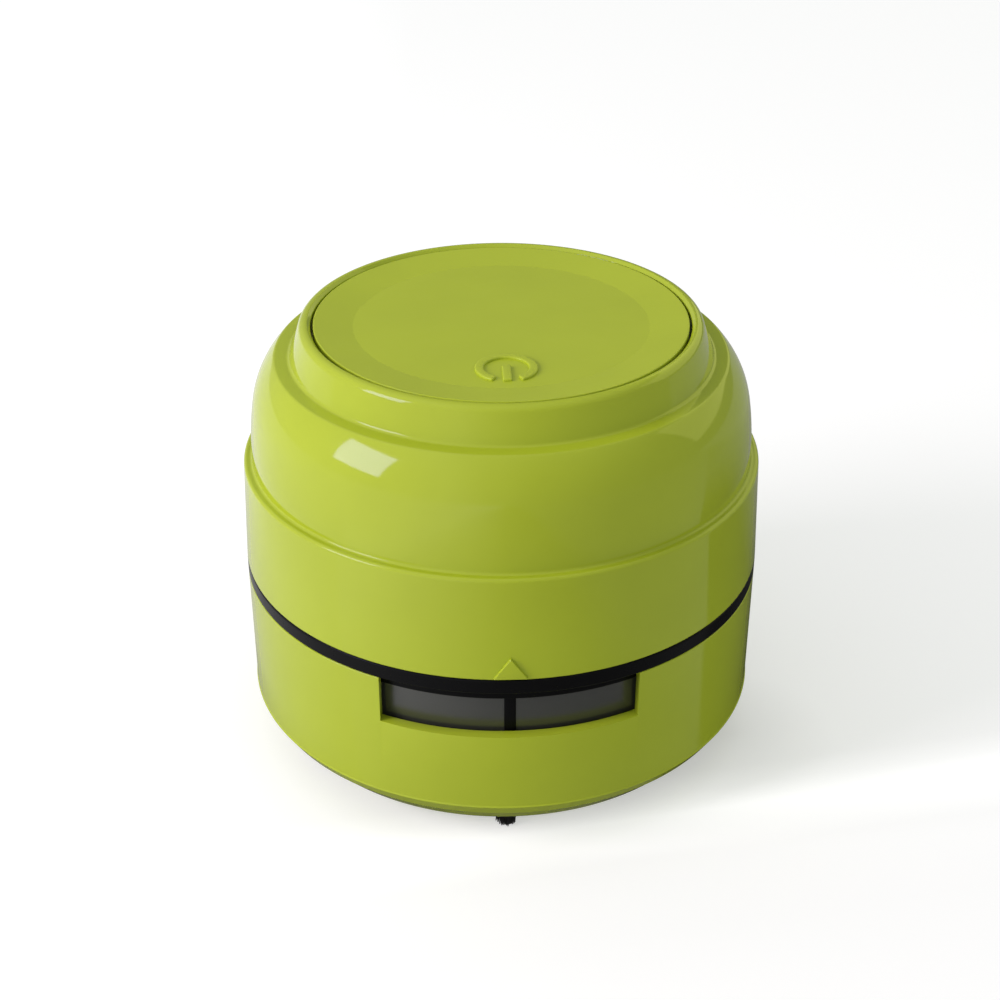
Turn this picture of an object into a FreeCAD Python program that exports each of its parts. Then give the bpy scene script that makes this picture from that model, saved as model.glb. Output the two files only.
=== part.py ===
import FreeCAD, Part
import math
import os

from FreeCAD import Vector

# Desktop mini vacuum cleaner: a round, battery-driven crumb sweeper for a desk.
# Millimetres. Origin on the desk at the middle of the brushes, +Z up, the exhaust window faces -Y.
# From the desk up: brush tufts, base plate, dust cup, filter basket, power unit, press-on top.

# ---- driving dimensions: the outside, from the desk up ---------------------------------------
ground_clearance = 4.0       # desk to the underside of the base plate
base_thickness = 3.3
base_bevel = 3.1             # width of the bevel round the base plate
base_bevel_inset = 0.15      # shadow step between base plate and dust cup
cup_foot_inset = 1.3         # the dust cup is this much narrower where it meets the base plate
cup_foot_height = 2.1        # height of the turned-in foot of the dust cup
cup_foot_fillet = 0.6
body_radius = 42.3           # straight wall, where the dust cup meets the band
cup_foot_draft = 0.08        # the wall is this much narrower at its foot
cup_height = 23.5
band_height = 2.5            # visible black band of the filter frame
band_edge = 0.3
upper_wall_height = 17.2     # straight wall of the upper housing
upper_wall_draft = 0.6       # it leans in by this much at the top
step_width = 1.35            # ledge between the wall and the dome
step_fillet = 0.5
dome_foot_height = 1.5       # short straight run before the dome turns in
dome_side_radius = 48.0
dome_side_turn = 10.0        # degrees
dome_shoulder_radius = 14.0
dome_shoulder_turn = 33.2    # degrees
dome_crest_radius = 0.45     # edge where the dome meets the flat ledge inside it
top_ledge_width = 2.82       # flat ledge between the dome and the collar
collar_fillet = 0.9          # round in the corner at the foot of the collar
collar_height = 5.5
collar_lean = 1.33           # the collar leans in by this much up to the rim
rim_width = 1.66
rim_fillet = 1.33
rim_inner_edge = 0.5

# ---- walls and general clearances -----------------------------------------------------------
housing_wall = 1.8
cup_wall = 1.75
running_clearance = 0.05     # shafts, screws and sockets, on the radius
seal_clearance = 0.08        # seal lip to the housing that slides over it
slide_clearance = 0.35       # parts that lift out of each other, on the radius
fixed_clearance = 0.15       # parts that are fitted once, on the radius

# ---- dust cup and base ----------------------------------------------------------------------
cup_floor = 1.8
cup_inner_fillet = 2.0
chimney_bore_radius = 11.5
chimney_wall = 1.5
chimney_height = 9.5
chimney_lip_fillet = 0.7
window_width = 39.4
window_height = 8.0
inlet_flare = 2.0            # bell mouth of the dust inlet
recess_depth = 1.0           # hollow in the underside of the base plate
inlet_lip = 2.5              # flat ring between the inlet and the hollow
recess_margin = 2.2          # the hollow stops this far short of the tufts
tuft_count = 6
tuft_inset = 4.2             # tufts' axes to the foot of the bevel
tuft_radius = 1.5
tuft_flare = 0.15
tuft_socket_depth = 2.4
base_screw_angles = (30.0, 150.0, 270.0)
base_boss_radius = 3.0
base_boss_height = 4.0

# ---- filter basket --------------------------------------------------------------------------
basket_wall = 1.2
mesh_thickness = 0.3
mesh_ledge = 0.4             # shoulder that the mesh stops against
basket_depth = 11.2          # reach of the basket below the band
basket_foot_height = 2.2
skirt_height = 2.3           # solid ring under the band, seen in the window
post_count = 8
post_width = 2.0
spigot_height = 3.2          # reach of the basket into the upper housing
seal_height = 1.3
seal_depth = 0.7
seal_fillet = 0.25

# ---- fan ------------------------------------------------------------------------------------
fan_gap = 1.2                # chimney mouth to the blades
blade_height = 8.6
blade_thickness = 1.1
blade_count = 8
blade_inner_radius = 8.5
blade_inlet_cut = 3.0        # the blades rise towards the eye of the fan
blade_curve_radius = 15.0
blade_sweep = 52.0           # degrees from root to tip
fan_radius = 22.0
fan_disc_thickness = 1.2
hub_radius = 4.5
hub_nose_fillet = 2.5
hub_fillet = 1.5             # round between the hub and the disc
hub_rise = 1.0               # hub above the disc
hub_drop = 1.5               # blades' lower edge to the hub's nose
fan_running_gap = 0.6        # hub to the motor cup
shaft_radius = 1.0
shaft_reach = 8.0            # length of shaft inside the motor

# ---- motor and its carrier ------------------------------------------------------------------
motor_radius = 10.1
motor_flat_width = 15.1
motor_can_height = 20.0
motor_edge = 0.8
motor_boss_radius = 3.0
motor_boss_height = 1.4
end_cap_height = 5.0
end_cap_inset = 0.4
terminal_width = 2.2
terminal_height = 3.2
terminal_thickness = 0.5
terminal_spacing = 10.0
motor_cup_floor = 1.5
motor_cup_wall = 1.5
carrier_lift = 1.2           # spigot to the underside of the carrier
carrier_thickness = 1.8
carrier_rib_count = 6
carrier_rib_width = 1.4
motor_screw_gap = 1.4        # screw heads to the motor's boss

# ---- screws ---------------------------------------------------------------------------------
screw_radius = 1.1
screw_head_radius = 2.1
screw_head_height = 1.2
screw_length = 7.0
small_screw_radius = 0.8
small_head_radius = 1.6
small_head_height = 0.9
small_screw_length = 4.2
boss_radius = 3.0
boss_inset = 3.9             # bosses' axes to the bore of the upper housing
boss_height = 12.5
boss_angles = (30.0, 150.0, 270.0)
small_boss_radius = 2.2
pilot_spare = 1.0            # pilot holes run this much past the screw

# ---- cell -----------------------------------------------------------------------------------
cell_radius = 7.0
cell_wall_gap = 3.66         # ends of the cell to the housing
cell_nub_radius = 2.8
cell_nub_height = 1.2
cell_edge = 0.6
cell_gap = 1.85              # cell to the motor's cup
cell_lift = 0.8
saddle_inset = 9.4           # saddles' middles to the ends of the cell
saddle_thickness = 3.0
saddle_width = 15.8
tab_thickness = 0.25
tab_width = 5.0
tab_height = 9.0

# ---- charging board -------------------------------------------------------------------------
board_thickness = 1.2
charge_board_width = 18.0
charge_board_length = 19.0
charge_board_lift = 2.0
charge_board_wall_gap = 0.6
charge_post_inset = 2.8
socket_width = 8.94
socket_height = 3.26
socket_length = 7.3
socket_corner = 1.5
socket_wall = 0.3
socket_inset = 0.6           # mouth behind the housing's outer face
socket_hole_clearance = 0.3
tongue_width = 6.7
tongue_thickness = 0.7
board_corner = 1.0
chip_width = 5.0
chip_length = 4.0
chip_height = 1.6
coil_size = 4.0
coil_height = 2.2
capacitor_width = 1.6
capacitor_length = 3.2
capacitor_height = 1.4
component_inset = 2.0        # chip and coil to the sides of the board
component_fillet = 0.3

# ---- press-on top and switch ----------------------------------------------------------------
top_recess = 0.75            # rim to the edge of the top plate
top_clearance = 0.4
top_thickness = 1.6
top_ring_width = 6.2
top_dish = 0.35              # the outer ring rises by this much
top_edge_chamfer = 0.5
skirt_wall = 1.2
button_travel = 1.2
travel_spare = 0.5           # left under the skirt when fully pressed
well_depth = 6.0
deck_thickness = 1.5
leg_count = 3
leg_inset = 7.3              # legs to the inside of the skirt
leg_width = 4.0
leg_thickness = 1.6
leg_clearance = 0.3
hook_reach = 0.9
hook_height = 2.4
hook_gap = 0.1               # hook to the underside of the deck
spring_radius = 5.5
spring_wire_radius = 0.25
spring_turns = 2.5
spring_boss_height = 1.2
switch_size = 8.5
switch_body_height = 6.2
switch_edge = 0.5
switch_gap = 1.0             # deck to the switch body
switch_board_gap = 0.9       # switch board to the motor
switch_board_width = 19.0
switch_board_length = 12.0
switch_boss_spacing = 14.0
plunger_size = 3.0
plunger_rise = 1.2           # plunger above the deck
plunger_depth = 3.2          # plunger inside the switch body
plunger_gap = 0.05           # pressing stem to plunger
deck_hole_clearance = 0.5
stem_radius = 2.2

# ---- levels worked out from the sizes above --------------------------------------------------
base_top = ground_clearance + base_thickness
cup_foot_radius = body_radius - cup_foot_inset
base_bottom_radius = cup_foot_radius - base_bevel
tuft_circle_radius = base_bottom_radius - tuft_inset
recess_inner_radius = chimney_bore_radius + inlet_flare + inlet_lip
recess_outer_radius = tuft_circle_radius - tuft_radius - recess_margin
base_screw_circle = (recess_inner_radius + recess_outer_radius) / 2
cup_top = base_top + cup_height
band_top = cup_top + band_height
step_level = band_top + upper_wall_height
window_sill = cup_top - window_height
floor_level = base_top + cup_floor
chimney_top = floor_level + chimney_height
spigot_top = band_top + spigot_height
carrier_bottom = spigot_top + carrier_lift
carrier_top = carrier_bottom + carrier_thickness
blade_bottom = chimney_top + fan_gap
disc_bottom = blade_bottom + blade_height
disc_top = disc_bottom + fan_disc_thickness
hub_top = disc_top + hub_rise
motor_cup_bottom = hub_top + fan_running_gap
motor_seat = motor_cup_bottom + motor_cup_floor
can_top = motor_seat + motor_can_height
end_cap_top = can_top + end_cap_height
dome_turn = math.radians(dome_side_turn)
dome_end_turn = math.radians(dome_side_turn + dome_shoulder_turn)
dome_foot_radius = body_radius - upper_wall_draft - step_width
dome_side_centre = Vector(dome_foot_radius - dome_side_radius, 0, step_level + dome_foot_height)
dome_shoulder_centre = dome_side_centre + Vector(
    math.cos(dome_turn), 0, math.sin(dome_turn)) * (dome_side_radius - dome_shoulder_radius)
dome_crest_centre = dome_shoulder_centre + Vector(
    math.cos(dome_end_turn), 0, math.sin(dome_end_turn)) * (dome_shoulder_radius - dome_crest_radius)
top_ledge_level = dome_crest_centre.z + dome_crest_radius
collar_foot_radius = dome_crest_centre.x - top_ledge_width
rim_top = top_ledge_level + collar_height
rim_outer_radius = collar_foot_radius - collar_lean
rim_inner_radius = rim_outer_radius - rim_width
deck_top = rim_top - well_depth
deck_bottom = deck_top - deck_thickness
ceiling_turn = math.asin((deck_bottom - dome_shoulder_centre.z) / (dome_shoulder_radius - housing_wall))
top_edge_level = rim_top - top_recess
top_disc_level = top_edge_level + top_edge_chamfer - top_dish
top_underside = top_disc_level - top_thickness
top_radius = rim_inner_radius - top_clearance
top_disc_radius = top_radius - top_ring_width
skirt_bore = top_radius - skirt_wall
leg_circle_radius = skirt_bore - leg_inset
cup_inner_radius = body_radius - cup_wall
basket_radius = cup_inner_radius - slide_clearance
mesh_radius = basket_radius - basket_wall
spigot_bore = mesh_radius - mesh_ledge
housing_bore = body_radius - housing_wall
spigot_radius = housing_bore - slide_clearance + fixed_clearance / 2
carrier_slope = upper_wall_draft / upper_wall_height
carrier_radius = housing_bore - carrier_slope * (carrier_top - band_top) - fixed_clearance
boss_circle_radius = housing_bore - boss_inset
motor_cup_bore = motor_radius + fixed_clearance
motor_cup_radius = motor_cup_bore + motor_cup_wall
motor_screw_offset = motor_boss_radius + small_head_radius + motor_screw_gap
cell_offset = motor_cup_radius + cell_gap + cell_radius
cell_half = math.sqrt((housing_bore - cell_wall_gap) ** 2 - (cell_offset + cell_radius) ** 2)
saddle_offset = cell_half - saddle_inset
cell_centre = Vector(0, -cell_offset, carrier_top + cell_lift + cell_radius)
switch_offset = motor_radius + switch_board_gap + switch_board_length / 2
switch_top = deck_bottom - switch_gap
switch_board_top = switch_top - switch_body_height
plunger_top = deck_top + plunger_rise
charge_board_bottom = carrier_top + charge_board_lift
charge_board_top = charge_board_bottom + board_thickness
socket_level = charge_board_top + socket_height / 2
socket_mouth = body_radius - carrier_slope * (socket_level - band_top) - socket_inset
board_corner_reach = housing_bore - carrier_slope * (charge_board_top - band_top)
charge_board_back = math.sqrt(board_corner_reach ** 2 - (charge_board_width / 2) ** 2) - charge_board_wall_gap
charge_board_front = charge_board_back - charge_board_length

UP = Vector(0, 0, 1)
ORIGIN = Vector(0, 0, 0)


# ---- drawing helpers ------------------------------------------------------------------------
def section(r, z):
    """A point of an outline that is turned about the axis."""
    return Vector(r, 0, z)


def fillet_points(before, corner, after, radius):
    """Start, middle and end of the arc that rounds the corner between two straight runs."""
    to_before = (before - corner).normalize()
    to_after = (after - corner).normalize()
    half = to_before.getAngle(to_after) / 2
    room = 0.48 * min(before.distanceToPoint(corner), after.distanceToPoint(corner))
    reach = min(radius / math.tan(half), room)
    radius = reach * math.tan(half)
    centre = corner + (to_before + to_after).normalize() * (radius / math.sin(half))
    middle = centre + (corner - centre).normalize() * radius
    return corner + to_before * reach, middle, corner + to_after * reach


def outline(corners, place=section):
    """Closed wire. A corner is (a, b), (a, b, fillet), or (a, b, (arc's middle point))."""
    spots = [place(corner[0], corner[1]) for corner in corners]
    extras = [corner[2] if len(corner) > 2 else 0 for corner in corners]
    turns = []
    for i, spot in enumerate(spots):
        if isinstance(extras[i], tuple) or extras[i] == 0:
            turns.append((spot, None, spot))
        else:
            after = spots[(i + 1) % len(spots)]
            turns.append(fillet_points(spots[i - 1], spot, after, extras[i]))
    edges = []
    for i, (entering, middle, leaving) in enumerate(turns):
        last = turns[i - 1][2]
        if isinstance(extras[i], tuple):
            edges.append(Part.Arc(last, place(*extras[i]), entering).toShape())
        elif last.distanceToPoint(entering) > 1e-6:
            edges.append(Part.LineSegment(last, entering).toShape())
        if middle is not None:
            edges.append(Part.Arc(entering, middle, leaving).toShape())
    return Part.Wire(edges)


def turned(corners):
    """A solid of revolution about the axis from corners in the r-z plane."""
    solid = Part.Face(outline(corners)).revolve(ORIGIN, UP, 360)
    if solid.Volume < 0:
        solid.reverse()
    return solid


def extruded(wire, direction):
    solid = Part.Face(wire).extrude(direction)
    if solid.Volume < 0:
        solid.reverse()
    return solid


def ring(inner, outer, low, high):
    return turned([(inner, low), (outer, low), (outer, high), (inner, high)])


def rod(radius, low, high, x=0.0, y=0.0):
    return Part.makeCylinder(radius, high - low, Vector(x, y, low), UP)


def block(x, y, z):
    """A box from three (low, high) pairs."""
    size = (x[1] - x[0], y[1] - y[0], z[1] - z[0])
    return Part.makeBox(*size, Vector(x[0], y[0], z[0]))


def rounded_block(x, y, z, radius):
    """A box whose upright edges are rounded."""
    corners = [(x[0], y[0], radius), (x[1], y[0], radius), (x[1], y[1], radius), (x[0], y[1], radius)]
    wire = outline(corners, lambda a, b: Vector(a, b, z[0]))
    return extruded(wire, Vector(0, 0, z[1] - z[0]))


def spun(shape, degrees):
    """A copy of the shape turned about the axis."""
    copy = shape.copy()
    copy.rotate(ORIGIN, UP, degrees)
    return copy


def circled(shape, count, start=0.0):
    return [spun(shape, start + 360.0 * i / count) for i in range(count)]


def polar(radius, degrees):
    angle = math.radians(degrees)
    return Vector(radius * math.cos(angle), radius * math.sin(angle), 0)


def merged(first, *others):
    """Fused into one clean solid."""
    return first.fuse(list(others)).removeSplitter()


def countersunk_screw(spot, level, radius, head_radius, head_height, length, clearance=0.0):
    """A screw driven upwards, its flat head flush with the level."""
    profile = [(0, level), (head_radius + clearance, level), (radius + clearance, level + head_height),
               (radius + clearance, level + length), (0, level + length)]
    screw = turned(profile)
    screw.translate(spot)
    return screw


def pan_screw(spot, level, direction):
    """A small round-headed screw, its head against the level and its shank along direction."""
    profile = [(0, -small_head_height), (small_head_radius, -small_head_height, small_head_height / 2),
               (small_head_radius, 0), (small_screw_radius, 0), (small_screw_radius, small_screw_length),
               (0, small_screw_length)]
    screw = turned(profile)
    if direction < 0:
        screw.rotate(ORIGIN, Vector(1, 0, 0), 180)
    screw.translate(spot + Vector(0, 0, level))
    return screw


# ---- upper housing --------------------------------------------------------------------------
def dome_corners(inset, *arcs):
    """Tangent arcs, each given by its centre, radius and end turn, moved inwards by the inset."""
    corners = []
    start = 0.0
    for centre, radius, end in arcs:
        reach = radius - inset
        middle = (start + end) / 2
        middle_point = (centre.x + reach * math.cos(middle), centre.z + reach * math.sin(middle))
        corners.append((centre.x + reach * math.cos(end), centre.z + reach * math.sin(end), middle_point))
        start = end
    return corners


def housing_outside():
    wall_top = body_radius - upper_wall_draft
    return turned([
        (0, band_top), (body_radius, band_top, band_edge), (wall_top, step_level, step_fillet),
        (dome_foot_radius, step_level, step_fillet),
        (dome_foot_radius, step_level + dome_foot_height),
        *dome_corners(0.0, (dome_side_centre, dome_side_radius, dome_turn),
                      (dome_shoulder_centre, dome_shoulder_radius, dome_end_turn),
                      (dome_crest_centre, dome_crest_radius, math.pi / 2)),
        (collar_foot_radius, top_ledge_level, collar_fillet),
        (rim_outer_radius, rim_top, rim_fillet), (0, rim_top)])


def housing_inside():
    """The hollow under the deck of the button's well."""
    wall_top = body_radius - upper_wall_draft - housing_wall
    foot_radius = dome_foot_radius - housing_wall
    inner_step = step_level - housing_wall
    return turned([
        (0, band_top), (housing_bore, band_top), (wall_top, inner_step), (foot_radius, inner_step),
        (foot_radius, step_level + dome_foot_height),
        *dome_corners(housing_wall, (dome_side_centre, dome_side_radius, dome_turn),
                      (dome_shoulder_centre, dome_shoulder_radius, ceiling_turn)),
        (0, deck_bottom)])


def housing_bosses():
    """Three screw bosses on the wall and two that carry the switch board."""
    bosses = []
    for angle in boss_angles:
        spot = polar(boss_circle_radius, angle)
        bosses.append(rod(boss_radius, carrier_top, carrier_top + boss_height, spot.x, spot.y))
    for side in (-1, 1):
        x = side * switch_boss_spacing / 2
        bosses.append(rod(small_boss_radius, switch_board_top, deck_bottom + deck_thickness / 2,
                          x, -switch_offset))
    return bosses


def socket_outline(y, grow):
    """Rounded slot of the charging socket in the plane at y."""
    wide = socket_width / 2 + grow
    high = socket_height / 2 + grow
    corner = socket_corner + grow
    corners = [(-wide, -high, corner), (wide, -high, corner), (wide, high, corner), (-wide, high, corner)]
    return outline(corners, lambda a, b: Vector(a, y, socket_level + b))


def upper_housing():
    shell = housing_outside().cut(housing_inside())
    shell = merged(shell, *housing_bosses())
    well = turned([
        (0, deck_top), (rim_inner_radius, deck_top), (rim_inner_radius, rim_top - rim_inner_edge),
        (rim_inner_radius + rim_inner_edge, rim_top + 1e-3), (0, rim_top + 1e-3)])
    cuts = [well]
    for angle in boss_angles:
        spot = polar(boss_circle_radius, angle)
        depth = carrier_bottom + screw_length + pilot_spare
        cuts.append(rod(screw_radius + running_clearance, carrier_top, depth, spot.x, spot.y))
    for side in (-1, 1):
        x = side * switch_boss_spacing / 2
        depth = switch_board_top - board_thickness + small_screw_length + pilot_spare
        cuts.append(rod(small_screw_radius + running_clearance, switch_board_top, depth, x, -switch_offset))
    slot = block((leg_circle_radius - leg_clearance, leg_circle_radius + leg_thickness + leg_clearance),
                 (-leg_width / 2 - leg_clearance, leg_width / 2 + leg_clearance), (deck_bottom, deck_top))
    cuts += circled(slot, leg_count, 90)
    cuts.append(rod(plunger_size * 0.71 + deck_hole_clearance, deck_bottom, deck_top, 0, -switch_offset))
    port_depth = housing_wall * 2
    port = extruded(socket_outline(body_radius - port_depth, socket_hole_clearance),
                    Vector(0, port_depth, 0))
    cuts.append(port)
    shell = shell.cut(cuts)
    spring_post = rod(spring_radius - 4 * spring_wire_radius, deck_top, deck_top + spring_boss_height)
    return merged(shell, spring_post)


# ---- press-on top and switch ----------------------------------------------------------------
def power_button():
    ring_level = top_disc_level + top_dish
    skirt_bottom = deck_top + button_travel + travel_spare
    plate = turned([
        (0, top_underside), (skirt_bore, top_underside), (skirt_bore, skirt_bottom),
        (top_radius, skirt_bottom), (top_radius, top_edge_level),
        (top_radius - top_edge_chamfer, ring_level), (top_disc_radius, top_disc_level),
        (0, top_disc_level)])
    stem = rod(stem_radius, plunger_top + plunger_gap, top_underside + top_thickness / 2, 0, -switch_offset)
    return merged(plate, stem, *circled(snap_leg(), leg_count, 90))


def snap_leg():
    """A guide leg whose hook catches under the deck."""
    inner = leg_circle_radius
    outer = inner + leg_thickness
    hook_top = deck_bottom - hook_gap
    corners = [(inner, hook_top - hook_height), (outer - leg_thickness / 2, hook_top - hook_height),
               (outer + hook_reach, hook_top - hook_height / 4), (outer + hook_reach, hook_top),
               (outer, hook_top), (outer, top_underside + top_thickness / 2),
               (inner, top_underside + top_thickness / 2)]
    leg = extruded(outline(corners), Vector(0, leg_width, 0))
    leg.translate(Vector(0, -leg_width / 2, 0))
    return leg


def button_spring():
    """Return spring between the deck and the top plate."""
    low = deck_top + spring_wire_radius
    height = top_underside - deck_top - 2 * spring_wire_radius
    helix = Part.makeHelix(height / spring_turns, height, spring_radius)
    wire = Part.Wire(Part.makeCircle(spring_wire_radius, Vector(spring_radius, 0, 0), Vector(0, 1, 0)))
    coil = Part.Wire(helix.Edges).makePipeShell([wire], True, True)
    coil.translate(Vector(0, 0, low))
    return coil


def switch_body():
    half = switch_size / 2
    centre = -switch_offset
    box = rounded_block((-half, half), (centre - half, centre + half),
                        (switch_board_top, switch_top), switch_edge)
    neck_half = plunger_size * 0.9
    neck = block((-neck_half, neck_half), (centre - neck_half, centre + neck_half),
                 (switch_top - switch_edge, switch_top + switch_edge))
    hole_half = plunger_size / 2 + running_clearance
    hole_bottom = switch_top - plunger_depth - button_travel - travel_spare
    hole = block((-hole_half, hole_half), (centre - hole_half, centre + hole_half),
                 (hole_bottom, switch_top + switch_edge))
    return merged(box, neck).cut(hole)


def switch_plunger():
    half = plunger_size / 2
    return rounded_block((-half, half), (-switch_offset - half, -switch_offset + half),
                         (switch_top - plunger_depth, plunger_top), plunger_size / 6)


def switch_board():
    half = switch_board_width / 2
    reach = switch_board_length / 2
    board = rounded_block((-half, half), (-switch_offset - reach, -switch_offset + reach),
                          (switch_board_top - board_thickness, switch_board_top), board_corner)
    holes = [rod(small_screw_radius + running_clearance, switch_board_top - board_thickness,
                 switch_board_top, side * switch_boss_spacing / 2, -switch_offset) for side in (-1, 1)]
    return board.cut(holes)


def switch_screws():
    level = switch_board_top - board_thickness
    screws = [pan_screw(Vector(side * switch_boss_spacing / 2, -switch_offset, 0), level, 1)
              for side in (-1, 1)]
    return Part.makeCompound(screws)


# ---- motor, fan and carrier -----------------------------------------------------------------
def motor_slice(radius, flat_width, low, high):
    """A round motor case with two flats."""
    case = turned([(0, low), (radius, low, motor_edge), (radius, high, motor_edge), (0, high)])
    return case.common(block((-flat_width / 2, flat_width / 2), (-radius, radius), (low, high)))


def motor_can():
    can = motor_slice(motor_radius, motor_flat_width, motor_seat, can_top)
    boss = rod(motor_boss_radius, motor_seat - motor_boss_height, motor_seat)
    bore = rod(shaft_radius + running_clearance, motor_seat - motor_boss_height,
               motor_seat + shaft_reach + pilot_spare)
    taps = []
    for side in (-1, 1):
        taps.append(rod(small_screw_radius + running_clearance, motor_seat,
                        motor_cup_bottom + small_screw_length + pilot_spare, 0,
                        side * motor_screw_offset))
    return merged(can, boss).cut([bore] + taps)


def motor_end_cap():
    cap = motor_slice(motor_radius - end_cap_inset, motor_flat_width - 2 * end_cap_inset,
                      can_top, end_cap_top)
    boss = turned([(0, end_cap_top - motor_edge), (motor_boss_radius, end_cap_top - motor_edge),
                   (motor_boss_radius, end_cap_top + motor_boss_height, motor_edge / 2),
                   (0, end_cap_top + motor_boss_height)])
    return merged(cap, boss)


def motor_terminals():
    tabs = []
    for side in (-1, 1):
        x = side * terminal_spacing / 2
        tab = block((x - terminal_thickness / 2, x + terminal_thickness / 2),
                    (-terminal_width / 2, terminal_width / 2),
                    (end_cap_top, end_cap_top + terminal_height))
        eye = Part.makeCylinder(terminal_width / 5, 2 * terminal_thickness,
                                Vector(x - terminal_thickness, 0, end_cap_top + terminal_height * 0.65),
                                Vector(1, 0, 0))
        tabs.append(tab.cut(eye))
    return Part.makeCompound(tabs)


def motor_shaft():
    return rod(shaft_radius, blade_bottom - hub_drop + hub_nose_fillet, motor_seat + shaft_reach)


def impeller_blade():
    """One backward-curved blade: an arc of even thickness from the eye to the rim."""
    root = polar(blade_inner_radius, 0)
    tip = polar(fan_radius - blade_thickness / 2, -blade_sweep)
    chord = tip - root
    middle = (root + tip) * 0.5
    rise = math.sqrt(blade_curve_radius ** 2 - (chord.Length / 2) ** 2)
    sideways = Vector(chord.y, -chord.x, 0).normalize()
    centre = middle + sideways * rise
    sides = []
    for reach in (blade_curve_radius - blade_thickness / 2, blade_curve_radius + blade_thickness / 2):
        spots = [centre + (spot - centre).normalize() * reach for spot in (root, middle, tip)]
        sides.append(spots)
    near, far = sides
    wire = Part.Wire([
        Part.Arc(*near).toShape(), Part.LineSegment(near[2], far[2]).toShape(),
        Part.Arc(far[2], far[1], far[0]).toShape(), Part.LineSegment(far[0], near[0]).toShape()])
    blade = extruded(wire, Vector(0, 0, blade_height + fan_disc_thickness / 2))
    blade.translate(Vector(0, 0, blade_bottom))
    swept = turned([
        (blade_inner_radius, blade_bottom + blade_inlet_cut),
        (blade_inner_radius + blade_inlet_cut, blade_bottom), (fan_radius, blade_bottom),
        (fan_radius, disc_top), (blade_inner_radius, disc_top)])
    return blade.common(swept)


def impeller():
    nose = blade_bottom - hub_drop + hub_nose_fillet
    hub_bottom = nose - hub_nose_fillet / 2
    body = turned([
        (0, hub_bottom), (hub_radius, hub_bottom, hub_nose_fillet), (hub_radius, disc_bottom, hub_fillet),
        (fan_radius, disc_bottom), (fan_radius, disc_top), (hub_radius, disc_top),
        (hub_radius, hub_top), (0, hub_top)])
    wheel = merged(body, *circled(impeller_blade(), blade_count))
    return wheel.cut(rod(shaft_radius, nose, hub_top))


def motor_carrier():
    """Floor of the power unit: a ribbed plate with the motor's cup and the cell's saddles."""
    flange = ring(motor_cup_bore, carrier_radius, carrier_bottom, carrier_top)
    cup = turned([
        (0, motor_cup_bottom), (motor_cup_radius, motor_cup_bottom, motor_edge),
        (motor_cup_radius, carrier_top + motor_cup_wall), (motor_cup_bore, carrier_top + motor_cup_wall),
        (motor_cup_bore, motor_seat), (0, motor_seat)])
    rib = extruded(outline([
        (motor_cup_radius - motor_cup_wall / 2, motor_cup_bottom + motor_edge),
        (motor_cup_radius, motor_cup_bottom + motor_edge),
        (spigot_bore - slide_clearance, carrier_bottom),
        (motor_cup_radius - motor_cup_wall / 2, carrier_bottom)]),
        Vector(0, carrier_rib_width, 0))
    rib.translate(Vector(0, -carrier_rib_width / 2, 0))
    pieces = [cup] + circled(rib, carrier_rib_count)
    for side in (-1, 1):
        x = side * saddle_offset
        pieces.append(block((x - saddle_thickness / 2, x + saddle_thickness / 2),
                            (-cell_offset - saddle_width / 2, -cell_offset + saddle_width / 2),
                            (carrier_bottom, cell_centre.z)))
    pieces += charge_posts(carrier_top - carrier_thickness / 2, charge_board_bottom, small_boss_radius)
    carrier = merged(flange, *pieces)
    cuts = [Part.makeCylinder(cell_radius + running_clearance, 2 * (saddle_offset + saddle_thickness),
                              Vector(-saddle_offset - saddle_thickness, -cell_offset, cell_centre.z),
                              Vector(1, 0, 0)),
            rod(motor_boss_radius + running_clearance, motor_cup_bottom, motor_seat)]
    for angle in boss_angles:
        cuts.append(countersunk_screw(polar(boss_circle_radius, angle), carrier_bottom, screw_radius,
                                      screw_head_radius, screw_head_height, screw_length,
                                      running_clearance))
    for side in (-1, 1):
        spot = Vector(0, side * motor_screw_offset, 0)
        cuts.append(countersunk_screw(spot, motor_cup_bottom, small_screw_radius, small_head_radius,
                                      small_head_height, small_screw_length, running_clearance))
    cuts += charge_posts(carrier_top, charge_board_bottom, small_screw_radius + running_clearance)[:2]
    return carrier.cut(cuts)


def carrier_screws():
    return Part.makeCompound([
        countersunk_screw(polar(boss_circle_radius, angle), carrier_bottom, screw_radius,
                          screw_head_radius, screw_head_height, screw_length) for angle in boss_angles])


def motor_screws():
    return Part.makeCompound([
        countersunk_screw(Vector(0, side * motor_screw_offset, 0), motor_cup_bottom,
                          small_screw_radius, small_head_radius, small_head_height,
                          small_screw_length) for side in (-1, 1)])


# ---- cell and charging board ----------------------------------------------------------------
def battery_cell():
    nub_end = cell_half + cell_nub_height
    cell = turned([
        (0, -cell_half), (cell_radius, -cell_half, cell_edge), (cell_radius, cell_half, cell_edge),
        (cell_nub_radius, cell_half), (cell_nub_radius, nub_end), (0, nub_end)])
    cell.rotate(ORIGIN, Vector(0, 1, 0), 90)
    cell.translate(cell_centre)
    return cell


def battery_tabs():
    """Nickel strips welded to both ends of the cell."""
    tabs = []
    for low in (-cell_half - tab_thickness, cell_half + cell_nub_height):
        tab = block((low, low + tab_thickness), (-cell_offset - tab_width / 2, -cell_offset + tab_width / 2),
                    (cell_centre.z - tab_width / 2, cell_centre.z - tab_width / 2 + tab_height))
        tabs.append(tab)
    return Part.makeCompound(tabs)


def charge_post_spots():
    """Two screwed posts at the front of the charging board and two rests at its back."""
    x = charge_board_width / 2 - charge_post_inset
    return [Vector(side * x, y, 0) for y in (charge_board_front + charge_post_inset,
                                             charge_board_back - charge_post_inset) for side in (-1, 1)]


def charge_posts(low, high, radius):
    return [rod(radius, low, high, spot.x, spot.y) for spot in charge_post_spots()]


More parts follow.
